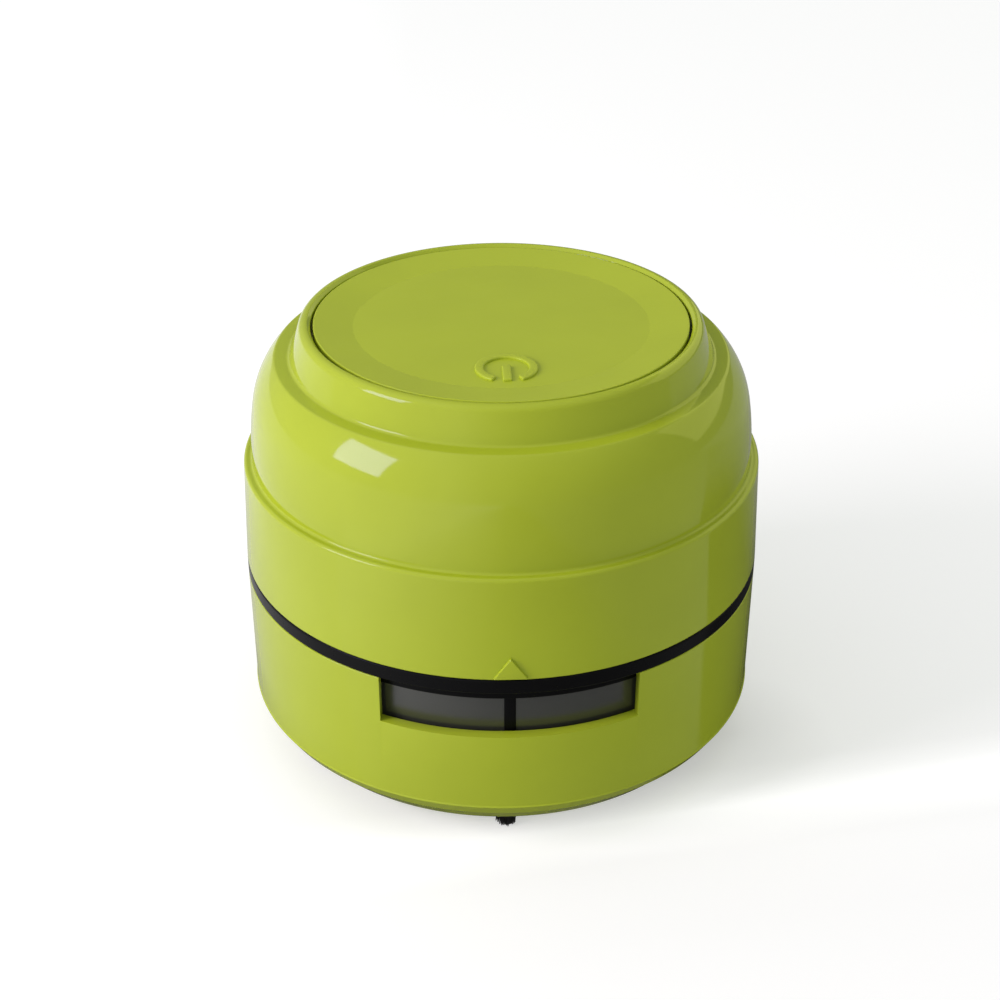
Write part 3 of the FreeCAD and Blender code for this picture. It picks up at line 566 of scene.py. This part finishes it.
def port_slot(half_width, half_height, near, far):
    """The rounded slot of the charging port, through the wall at the back."""
    slot = block((-half_width, near, socket_level - half_height), (half_width, far, socket_level + half_height))
    bpy.ops.object.mode_set(mode="EDIT")
    bpy.ops.mesh.select_all(action="DESELECT")
    bpy.ops.object.mode_set(mode="OBJECT")
    for edge in slot.data.edges:
        ends = [slot.data.vertices[i].co for i in edge.vertices]
        edge.select = abs(ends[0].y - ends[1].y) > mm
    bpy.ops.object.mode_set(mode="EDIT")
    bpy.ops.mesh.select_mode(type="EDGE")
    bpy.ops.mesh.bevel(offset=(half_height - 0.13) * mm, segments=8)
    bpy.ops.object.mode_set(mode="OBJECT")
    return slot


def join_mark():
    """The small raised triangle at the foot of the wall that shows how the halves line up."""
    deselect()
    bpy.ops.mesh.primitive_cylinder_add(vertices=3, radius=2.95 * mm, depth=1.0 * mm,
                                        rotation=(math.radians(90), 0, 0))
    mark = settle(bpy.context.object, "join_mark")
    mark.scale = (1, 1, 0.8)
    mark.location = (0, -(body_radius - 0.07) * mm, 34.93 * mm)
    settle(mark)
    return soften(mark, 0.1, segments=3)


# ---- press-on top ---------------------------------------------------------------------------
def make_top_plate():
    ring_level = top_edge_level + 0.5
    skirt_bore = top_radius - 1.2
    skirt_bottom_level = deck_top + 1.7
    disc_radius = top_radius - 6.2
    section = [(0, top_underside), (skirt_bore, top_underside), (skirt_bore, skirt_bottom_level),
               (top_radius, skirt_bottom_level)]
    section += eased([(top_radius, skirt_bottom_level + 0.01), (top_radius, ring_level, 0.16),
                      (disc_radius, top_disc_level, 1.2), (10.0, top_disc_level)], 5)
    section.append((0, top_disc_level))
    plate = turned("top_plate", section)
    legs = [snap_leg(90)]
    legs += [turn_copy(legs[0], 120), turn_copy(legs[0], 240)]
    stem = rod(2.2, deck_top + 1.25, top_underside + 0.3, (0, -switch_offset), 40, "stem")
    weld(plate, stem, *legs)
    return smooth(join(plate, power_mark()), 40)


def make_return_spring():
    """Coil spring under the top plate, drawn at one length; the real one closes up as the plate goes down."""
    deselect()
    bpy.ops.mesh.primitive_circle_add(vertices=12, radius=spring_wire * mm, rotation=(math.radians(90), 0, 0),
                                      location=(spring_coil * mm, 0, (deck_top + spring_wire) * mm))
    spring = settle(bpy.context.object, "return_spring")
    height = top_underside - deck_top - 2 * spring_wire
    finish_modifier(spring, "SCREW", angle=math.radians(360 * spring_turns), screw_offset=height * mm,
                    steps=110, render_steps=110)
    bpy.ops.object.mode_set(mode="EDIT")
    bpy.ops.mesh.select_all(action="DESELECT")
    bpy.ops.mesh.select_mode(type="VERT")
    bpy.ops.mesh.select_non_manifold()
    bpy.ops.mesh.fill_holes(sides=0)
    bpy.ops.object.mode_set(mode="OBJECT")
    return smooth(clean(spring), 60)


def snap_leg(degrees):
    """A guide leg: its lower end is drawn out sideways into the hook under the deck."""
    hook_top = deck_bottom - 0.1
    inner = top_radius - 8.5
    leg = block((inner, -2.0, hook_top), (inner + 1.6, 2.0, top_underside + 0.3), "leg")
    bpy.ops.object.mode_set(mode="EDIT")
    bpy.ops.mesh.select_all(action="DESELECT")
    bpy.ops.object.mode_set(mode="OBJECT")
    for face in leg.data.polygons:
        face.select = face.normal.z < -0.9
    bpy.ops.object.mode_set(mode="EDIT")
    bpy.ops.mesh.select_mode(type="FACE")
    bpy.ops.mesh.extrude_region_move(TRANSFORM_OT_translate={"value": (0, 0, -0.6 * mm)})
    bpy.ops.mesh.extrude_region_move(TRANSFORM_OT_translate={"value": (-0.4 * mm, 0, -1.8 * mm)})
    bpy.ops.transform.resize(value=(0.5, 1, 1), center_override=((inner + 0.4) * mm, 0, 0))
    bpy.ops.object.mode_set(mode="OBJECT")
    for face in leg.data.polygons:
        level = face.center.z / mm
        face.select = face.normal.x > 0.9 and hook_top - 0.6 < level < hook_top
    bpy.ops.object.mode_set(mode="EDIT")
    bpy.ops.mesh.extrude_region_move(TRANSFORM_OT_translate={"value": (0.9 * mm, 0, 0)})
    bpy.ops.object.mode_set(mode="OBJECT")
    return turn_piece(clean(leg), degrees)


def power_mark():
    """Raised power mark: an arc open towards the front and a bar in its gap."""
    top = top_disc_level + 0.42
    deselect()
    bpy.ops.mesh.primitive_plane_add(size=1)
    mark = bpy.context.object
    mark.scale = (1.36 * mm, 0.9 * mm, 1)
    mark.rotation_euler = (math.radians(90), 0, math.radians(-118))
    start = polar(4.08, -118)
    mark.location = (start[0] * mm, (mark_centre + start[1]) * mm, (top - 0.45) * mm)
    settle(mark, "power_mark")
    bpy.ops.object.mode_set(mode="EDIT")
    bpy.ops.mesh.select_all(action="SELECT")
    bpy.ops.mesh.spin(steps=72, angle=math.radians(304), center=(0, mark_centre * mm, 0), axis=(0, 0, 1))
    bpy.ops.object.mode_set(mode="OBJECT")
    clean(mark)
    bar = block((-0.7, mark_centre - 4.3, top - 0.9), (0.7, mark_centre + 0.7, top), "bar")
    join(mark, bar)
    soften(mark, 0.4, segments=5)
    return turn_piece(mark, 0.7)


# ---- filter basket --------------------------------------------------------------------------
def make_filter_frame():
    head = eased([
        (mesh_radius, skirt_bottom), (basket_radius, skirt_bottom, 0.12), (basket_radius, cup_top),
        (body_radius, cup_top, 0.3), (body_radius, band_top, 0.3), (spigot_radius, band_top),
        (spigot_radius, 34.25, 0.1), (39.525, 34.25), (39.525, 35.55), (spigot_radius, 35.55, 0.1),
        (spigot_radius, spigot_top, 0.3), (spigot_bore, spigot_top, 0.2), (spigot_bore, 31.2),
        (mesh_radius, 31.2), (mesh_radius, skirt_bottom)], 5)
    basket = turned("filter_basket", head)
    foot = turned("foot_ring", eased([
        (mesh_radius, basket_foot), (basket_radius, basket_foot, 0.25), (basket_radius, 21.8, 0.25),
        (mesh_radius, 21.8), (mesh_radius, basket_foot)], 4))
    post = block((mesh_radius + 0.01, -0.9, 20.5), (basket_radius - 0.02, 0.9, 29.5), "post")
    soften(post, 0.18, segments=3)
    turn_piece(post, -90)
    posts = [turn_copy(post, 45 * i) for i in range(1, 8)]
    return smooth(join(basket, foot, post, *posts))


def make_filter_mesh():
    inner, outer = mesh_radius + 0.7, mesh_radius + 1.0
    return smooth(turned("mesh_sleeve", [(inner, mesh_bottom), (outer, mesh_bottom), (outer, mesh_top),
                                         (inner, mesh_top), (inner, mesh_bottom)]))


def make_seal():
    return smooth(turned("seal", eased([
        (39.525, 34.3), (40.308, 34.3, 0.3), (40.308, 35.5, 0.3), (39.525, 35.5), (39.525, 34.3)], 6)))


# ---- dust cup and base ----------------------------------------------------------------------
def make_dust_cup():
    bead = base_top + foot_height
    section = eased([
        (chimney_bore, base_top), (cup_foot_radius, base_top, 0.1), (body_radius - 0.02, bead - 0.1, 0.1),
        (body_radius - 0.02, bead, 0.1), (body_radius - 0.13, bead + 0.18, 0.1),
        (body_radius - 0.12, bead + 1.9, 2.0), (body_radius, cup_top, 0.16),
        (cup_inner_radius, cup_top, 0.16), (cup_inner_radius, cup_floor_level, 2.0),
        (chimney_outside, cup_floor_level, 2.0), (chimney_outside, chimney_top, 0.7),
        (chimney_bore, chimney_top, 0.7), (chimney_bore, base_top)], 9)
    cup = turned("cup_shell", section)
    bosses = [rod(3.0, 8.2, 13.1, polar(base_screw_circle, angle)) for angle in screw_angles]
    weld(cup, *[soften(boss, 0.3, segments=3) for boss in bosses])
    cut(cup, window_cutter())
    soften(cup, 0.12, 50, 3)
    return smooth(cup)


def window_cutter():
    """The window's opening, a little wider outside than inside."""
    cutter = block((-window_half_width, -52.4, window_sill), (window_half_width, -32.4, cup_top + 2))
    bpy.ops.object.mode_set(mode="EDIT")
    bpy.ops.mesh.select_all(action="DESELECT")
    bpy.ops.object.mode_set(mode="OBJECT")
    for face in cutter.data.polygons:
        face.select = face.normal.y > 0.9
    bpy.ops.object.mode_set(mode="EDIT")
    bpy.ops.mesh.select_mode(type="FACE")
    bpy.ops.transform.resize(value=(0.955, 1, 1), center_override=(0, 0, 0))
    bpy.ops.mesh.select_all(action="DESELECT")
    bpy.ops.object.mode_set(mode="OBJECT")
    for face in cutter.data.polygons:
        face.select = face.normal.y < -0.9
    bpy.ops.object.mode_set(mode="EDIT")
    bpy.ops.transform.resize(value=(1.133, 1, 1), center_override=(0, 0, 0))
    bpy.ops.object.mode_set(mode="OBJECT")
    return cutter


def make_base_plate():
    section = eased([
        (chimney_bore + 2.0, base_bottom), (16.0, base_bottom, 0.5), (17.0, plate_recess_level, 0.3),
        (29.0, plate_recess_level, 0.3), (30.0, base_bottom, 0.5), (base_bottom_radius, base_bottom, 0.3),
        (cup_foot_radius - 0.15, base_top, 0.12), (chimney_bore, base_top), (chimney_bore, 6.0, 1.2),
        (chimney_bore + 2.0, base_bottom)], 6)
    plate = turned("bottom_plate", section)
    holes = [rod(1.55, 3.0, base_bottom + tuft_socket_depth, polar(tuft_circle, -90 + 60 * i), 40)
             for i in range(6)]
    for angle in screw_angles:
        holes.append(sunk_hole(polar(base_screw_circle, angle), plate_recess_level))
    cut(plate, *holes)
    return smooth(soften(plate, 0.08, 60, 2))


def sunk_hole(spot, level):
    """The hole of a flat-headed screw."""
    hole = turned("hole", [(0, level - 0.6), (2.15, level - 0.6), (2.15, level), (1.15, level + 1.2),
                           (1.15, level + 3.4), (0, level + 3.4)], 40)
    hole.location = (spot[0] * mm, spot[1] * mm, 0)
    return settle(hole)


def cross_screw(level, radius, head, head_height, length):
    """A flat-headed screw driven upwards, with a cross in its head."""
    screw = turned("screw", eased([
        (0, level), (head, level, 0.1), (head, level + 0.12, 0.05), (radius, level + head_height),
        (radius, level + length), (0, level + length)], 3), 40)
    long, short = head * 0.55, head * 0.13
    low, high = level - 1, level + head_height * 0.6
    arm = block((-long, -short, low), (long, short, high))
    cross = block((-short, -long, low), (short, long, high))
    return smooth(soften(cut(screw, arm, cross), 0.04, 60, 2))


def screw_set(name, spots, level, radius, head, head_height, length):
    """The same screw at several spots, each turned a little differently."""
    pattern = cross_screw(level, radius, head, head_height, length)
    copies = []
    for i, spot in enumerate(spots):
        pick(pattern)
        bpy.ops.object.duplicate(linked=False)
        copy = bpy.context.object
        copy.rotation_euler[2] = math.radians(17 + 41 * i)
        copy.location = (spot[0] * mm, spot[1] * mm, 0)
        copies.append(settle(copy))
    bpy.data.objects.remove(pattern)
    screws = join(*copies)
    screws.name = name
    screws.data.name = name
    return screws


def make_tuft():
    """A bundle of nylon bristles that spreads a little at its tip."""
    chance = random.Random(7)
    bristles = []
    count, bundle = 150, 1.42
    for i in range(count):
        ring = math.sqrt((i + 0.5) / count) * bundle
        turn = i * 2.39996
        x, y = ring * math.cos(turn), ring * math.sin(turn)
        lean = 0.08 + chance.uniform(-0.05, 0.08)
        aside = chance.uniform(-0.05, 0.05)
        tip = chance.uniform(0.0, 0.35)
        bristles.append((x, y, lean * ring / bundle, aside, tip))
    deselect()
    bpy.ops.mesh.primitive_cone_add(vertices=6, radius1=0.09 * mm, radius2=0.125 * mm, depth=1)
    strand = settle(bpy.context.object, "strand")
    bpy.ops.object.mode_set(mode="EDIT")
    bpy.ops.mesh.select_all(action="SELECT")
    bpy.ops.mesh.bisect(plane_co=(0, 0, -0.2), plane_no=(0, 0, 1))
    bpy.ops.object.mode_set(mode="OBJECT")
    strands = []
    top = base_bottom + tuft_socket_depth
    for x, y, lean, aside, tip in bristles:
        copy = strand.copy()
        copy.data = strand.data.copy()
        bpy.context.scene.collection.objects.link(copy)
        foot = Vector((x, y, top)) * mm
        end = Vector((x + lean * x * 1.2 + aside - 0.3, y + lean * y * 3.2 - 0.1, tip)) * mm
        run = end - foot
        copy.rotation_mode = "QUATERNION"
        copy.rotation_quaternion = run.to_track_quat("-Z", "Y")
        copy.scale = (1, 1, run.length)
        copy.location = (foot + end) / 2
        strands.append(copy)
    bpy.data.objects.remove(strand)
    tuft = join(*strands)
    settle(tuft, "tuft_pattern")
    tuft.rotation_mode = "XYZ"
    tuft.location = (0, -tuft_circle * mm, 0)
    return smooth(settle(tuft), 60)


# ---- charging port --------------------------------------------------------------------------
def make_port_shell():
    """Drawn steel shell of the charging port, hollowed from its mouth."""
    mouth = 41.315
    shell = port_slot(4.47, 1.63, mouth - 7.3, mouth)
    shell.name = "port_shell"
    hollow = port_slot(4.17, 1.33, mouth - 7.0, mouth + 1)
    cut(shell, hollow)
    return smooth(soften(shell, 0.06, 50, 2))


# ---- assembly -------------------------------------------------------------------------------
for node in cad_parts.values():
    for holder in node.material_slots:
        holder.material = finishes[holder.material.name]

seat(make_upper_housing(), "power_unit", "lime_gloss", "upper_housing")
seat(make_top_plate(), "button_unit", "lime_satin", "power_button")
spring = seat(make_return_spring(), "power_unit", "spring_steel", "button_spring")
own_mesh(spring)
seat(make_filter_frame(), "basket_unit", "black_plastic", "filter_frame")
seat(make_filter_mesh(), "basket_unit", "filter_mesh", "filter_mesh")
seat(make_seal(), "basket_unit", "seal_rubber", "seal_ring")
seat(make_dust_cup(), "cup_unit", "lime_gloss", "dust_cup")
seat(make_base_plate(), "cup_unit", "lime_gloss", "base_plate")
seat(screw_set("plate_screws", [polar(base_screw_circle, angle) for angle in screw_angles],
               plate_recess_level, *housing_screw),
     "cup_unit", "screw_steel", "base_screws")
seat(screw_set("floor_screws", [polar(boss_circle, angle) for angle in screw_angles],
               carrier_bottom, *housing_screw),
     "power_unit", "screw_steel", "carrier_screws")
seat(screw_set("motor_fixing", [(0, -6.0), (0, 6.0)], motor_cup_bottom, *motor_screw),
     "power_unit", "screw_steel", "motor_screws")
seat(make_port_shell(), "power_unit", "motor_steel", "charge_socket")
tuft = make_tuft()
for i in range(6):
    bundle = turn_copy(tuft, 60 * i)
    bundle.name = "bristles_%d" % (i + 1)
    seat(bundle, "cup_unit", "bristle", "brush_tuft_%d" % (i + 1))
bpy.data.objects.remove(tuft)


# ---- floor, light and camera ----------------------------------------------------------------
def ramp(nodes, links, value, start, end, *stops):
    """Strength along a value from start to end, through stops of (share of the way, strength)."""
    way = spread(nodes, links, value, 0, 1, start, end)
    steps = nodes.new("ShaderNodeFloatCurve")
    curve = steps.mapping.curves[0]
    curve.points[0].location = (0, stops[0][1] / 2)
    curve.points[1].location = (1, stops[-1][1] / 2)
    for share, strength in stops[1:-1]:
        curve.points.new(share, strength / 2)
    for point in curve.points:
        point.handle_type = "VECTOR"
    steps.mapping.update()
    links.new(way, steps.inputs["Value"])
    double = nodes.new("ShaderNodeMath")
    double.operation = "MULTIPLY"
    double.inputs[1].default_value = 2.0
    links.new(steps.outputs["Value"], double.inputs[0])
    return double.outputs["Value"]


def product(nodes, links, one, other):
    times = nodes.new("ShaderNodeMath")
    times.operation = "MULTIPLY"
    links.new(one, times.inputs[0])
    links.new(other, times.inputs[1])
    return times.outputs["Value"]


def distance_from(nodes, links, where, spot):
    away = nodes.new("ShaderNodeVectorMath")
    away.operation = "DISTANCE"
    away.inputs[1].default_value = spot
    links.new(where.outputs["Object"], away.inputs[0])
    return away.outputs["Value"]


def straight_rays(nodes, links, rays):
    """Rays from the camera, also those through something clear."""
    either = nodes.new("ShaderNodeMath")
    either.operation = "MAXIMUM"
    links.new(rays.outputs["Is Camera Ray"], either.inputs[0])
    links.new(rays.outputs["Is Transmission Ray"], either.inputs[1])
    return either.outputs["Value"]


def make_floor():
    """White desk, with painted light in its glow. A mirror sees a painted reflection of it: bright on the
    lamp's side, with a painted shadow where the vacuum's shadow falls.

    The ramps run over places on the desk, in metres. Lean is the place in Y with the slope of the
    shadow's front edge taken out.
    """
    deselect()
    bpy.ops.mesh.primitive_plane_add(size=6)
    floor = bpy.context.object
    floor.name = "desk"
    finish, nodes, links = new_finish("desk_white")
    shader = nodes["Principled BSDF"]
    shader.inputs["Base Color"].default_value = (0.66, 0.66, 0.66, 1)
    shader.inputs["Roughness"].default_value = 0.9
    shader.inputs["Specular IOR Level"].default_value = 0.1
    where = nodes.new("ShaderNodeTexCoord")
    parts = nodes.new("ShaderNodeSeparateXYZ")
    links.new(where.outputs["Object"], parts.inputs["Vector"])
    lean = nodes.new("ShaderNodeMath")
    lean.operation = "MULTIPLY_ADD"
    lean.inputs[1].default_value = -shadow_slope
    links.new(parts.outputs["X"], lean.inputs[0])
    links.new(parts.outputs["Y"], lean.inputs[2])
    # The glow seen straight on carries painted shade: dimmer close round the vacuum and dimmest at a spot to
    # its right, lifted just in front of it and on the lamp's side.
    middle = distance_from(nodes, links, where, (0, 0, 0))
    painted_shade_core = distance_from(nodes, links, where, (0.039, -0.012, 0))
    lift = product(nodes, links,
                   ramp(nodes, links, middle, 0.04, 1.0, (0, 0.41), (0.125, 0.46), (0.5, 0.48), (1, 0.62)),
                   ramp(nodes, links, painted_shade_core, 0, 0.018, (0, 0.78), (1, 1)))
    glow = nodes.new("ShaderNodeEmission")
    front = ramp(nodes, links, lean.outputs["Value"], -0.064, -0.028,
                 (0, 0.92), (0.45, 0.98), (0.6, 1.2), (0.722, 1.44), (0.861, 1.15), (1, 1))
    left = ramp(nodes, links, parts.outputs["X"], -0.07, -0.02, (0, 1.12), (1, 1))
    links.new(product(nodes, links, product(nodes, links, lift, front), left), glow.inputs["Strength"])
    both = nodes.new("ShaderNodeAddShader")
    links.new(shader.outputs["BSDF"], both.inputs[0])
    links.new(glow.outputs["Emission"], both.inputs[1])
    rays = nodes.new("ShaderNodeLightPath")
    seen = nodes.new("ShaderNodeMixShader")
    links.new(straight_rays(nodes, links, rays), seen.inputs["Fac"])
    links.new(shader.outputs["BSDF"], seen.inputs[1])
    links.new(both.outputs["Shader"], seen.inputs[2])
    # What a mirror sees of the desk is a painted reflection: bright on the lamp's side, a little lighter
    # behind, with a painted shadow past the shadow's front edge on the right and painted shade close round the
    # vacuum.
    ahead = ramp(nodes, links, parts.outputs["X"], -0.16, 0.16,
                 (0, 1.0), (0.20, 1.0), (0.49, 0.30), (0.65, 0.22), (0.74, 0.34), (1, 0.34))
    lit = nodes.new("ShaderNodeMath")
    lit.operation = "MAXIMUM"
    links.new(ahead, lit.inputs[0])
    behind = ramp(nodes, links, parts.outputs["Y"], 0.03, 0.14, (0, 0.2), (0.3, 0.3), (1, 0.46))
    links.new(behind, lit.inputs[1])
    shadow = ramp(nodes, links, lean.outputs["Value"], -0.0345, -0.032, (0, 0), (1, 1))
    side = product(nodes, links, ramp(nodes, links, parts.outputs["X"], -0.03, 0.03, (0, 0.15), (1, 0.80)),
                   ramp(nodes, links, parts.outputs["Y"], 0.03, 0.08, (0, 1), (1, 0.3)))
    drop = nodes.new("ShaderNodeMath")
    drop.operation = "SUBTRACT"
    drop.inputs[0].default_value = 1.0
    reach = ramp(nodes, links, middle, 0.13, 0.20, (0, 1), (1, 0.3))
    links.new(product(nodes, links, product(nodes, links, shadow, side), reach), drop.inputs[1])
    near = ramp(nodes, links, middle, 0.036, 0.066, (0, 0.25), (0.4, 0.7), (0.6, 1), (1, 1))
    mirrored = nodes.new("ShaderNodeEmission")
    links.new(product(nodes, links, product(nodes, links, lit.outputs["Value"], drop.outputs["Value"]), near),
              mirrored.inputs["Strength"])
    choice = nodes.new("ShaderNodeMixShader")
    links.new(rays.outputs["Is Glossy Ray"], choice.inputs["Fac"])
    links.new(seen.outputs["Shader"], choice.inputs[1])
    links.new(mirrored.outputs["Emission"], choice.inputs[2])
    links.new(choice.outputs["Shader"], nodes["Material Output"].inputs["Surface"])
    floor.data.materials.append(finish)


def make_world():
    """White all round to the eye; a mirror sees the unlit side and the back darker."""
    world = bpy.data.worlds.new("studio")
    world.use_nodes = True
    bpy.context.scene.world = world
    nodes, links = world.node_tree.nodes, world.node_tree.links
    where = nodes.new("ShaderNodeTexCoord")
    parts = nodes.new("ShaderNodeSeparateXYZ")
    links.new(where.outputs["Generated"], parts.inputs["Vector"])
    room = nodes["Background"]
    room.inputs["Color"].default_value = (0.98, 1, 0.98, 1)
    links.new(ramp(nodes, links, parts.outputs["Z"], 0, 1, (0, 0.57), (1, 0.70)), room.inputs["Strength"])
    backdrop = nodes.new("ShaderNodeBackground")
    backdrop.inputs["Color"].default_value = (1, 1, 1, 1)
    mirrored = nodes.new("ShaderNodeBackground")
    across = ramp(nodes, links, parts.outputs["X"], -1, 1,
                  (0, 1.0), (0.3, 1.0), (0.45, 0.6), (0.6, 0.4), (1, 0.36))
    along = ramp(nodes, links, parts.outputs["Y"], 0, 1, (0, 1), (1, 0.5))
    above = nodes.new("ShaderNodeMath")
    links.new(product(nodes, links, across, along), above.inputs[0])
    links.new(ramp(nodes, links, parts.outputs["Z"], 0.5, 1, (0, 0), (0.5, 0.10), (1, 0.3)), above.inputs[1])
    links.new(above.outputs["Value"], mirrored.inputs["Strength"])
    rays = nodes.new("ShaderNodeLightPath")
    seen = nodes.new("ShaderNodeMixShader")
    links.new(straight_rays(nodes, links, rays), seen.inputs["Fac"])
    links.new(room.outputs["Background"], seen.inputs[1])
    links.new(backdrop.outputs["Background"], seen.inputs[2])
    choice = nodes.new("ShaderNodeMixShader")
    links.new(rays.outputs["Is Glossy Ray"], choice.inputs["Fac"])
    links.new(seen.outputs["Shader"], choice.inputs[1])
    links.new(mirrored.outputs["Background"], choice.inputs[2])
    links.new(choice.outputs["Shader"], nodes["World Output"].inputs["Surface"])


def softbox(name, azimuth, height, distance, width, tall, power, colour=(1, 1, 1)):
    """A rectangular lamp that faces the vacuum."""
    lamp = bpy.data.lights.new(name, "AREA")
    lamp.shape = "RECTANGLE"
    lamp.size = width
    lamp.size_y = tall
    lamp.energy = power
    lamp.color = colour
    holder = bpy.data.objects.new(name, lamp)
    bpy.context.scene.collection.objects.link(holder)
    side = math.radians(azimuth)
    rise = math.radians(height)
    way = Vector((math.cos(side) * math.cos(rise), math.sin(side) * math.cos(rise), math.sin(rise)))
    holder.location = Vector((0, 0, 0.05)) + way * distance
    holder.rotation_euler = (-way).to_track_quat("-Z", "Y").to_euler()
    return holder


def make_camera():
    azimuth = math.radians(1.9)
    height = math.radians(29.74)
    target = Vector((0, 0, 0.03987))
    way = Vector((-math.sin(azimuth) * math.cos(height), -math.cos(azimuth) * math.cos(height),
                  math.sin(height)))
    lens = bpy.data.cameras.new("camera")
    lens.sensor_width = 36
    lens.lens = 64.8
    lens.shift_x = -0.00124
    lens.clip_start = 0.01
    camera = bpy.data.objects.new("camera", lens)
    bpy.context.scene.collection.objects.link(camera)
    camera.location = target + way * 0.299
    camera.rotation_euler = (math.radians(90) - height, 0, -azimuth)
    bpy.context.scene.camera = camera


make_floor()
make_world()
key = softbox("left_box", -160, 25, 0.60, 0.255, 0.277, 2.82, colour=(1.0, 0.925, 1.0))
key.visible_glossy = False
key_gleam = softbox("left_gleam", -156.8, 24, 0.59, 0.25, 0.25, 1.22, colour=(0.60, 0.55, 1.0))
key_gleam.visible_diffuse = False
side_gleam = softbox("right_gleam", 36, 27, 0.75, 1.03, 0.47, 1.5, colour=(1.0, 1.0, 0.35))
side_gleam.visible_diffuse = False
make_camera()

scene = bpy.context.scene
scene.view_settings.view_transform = "Standard"
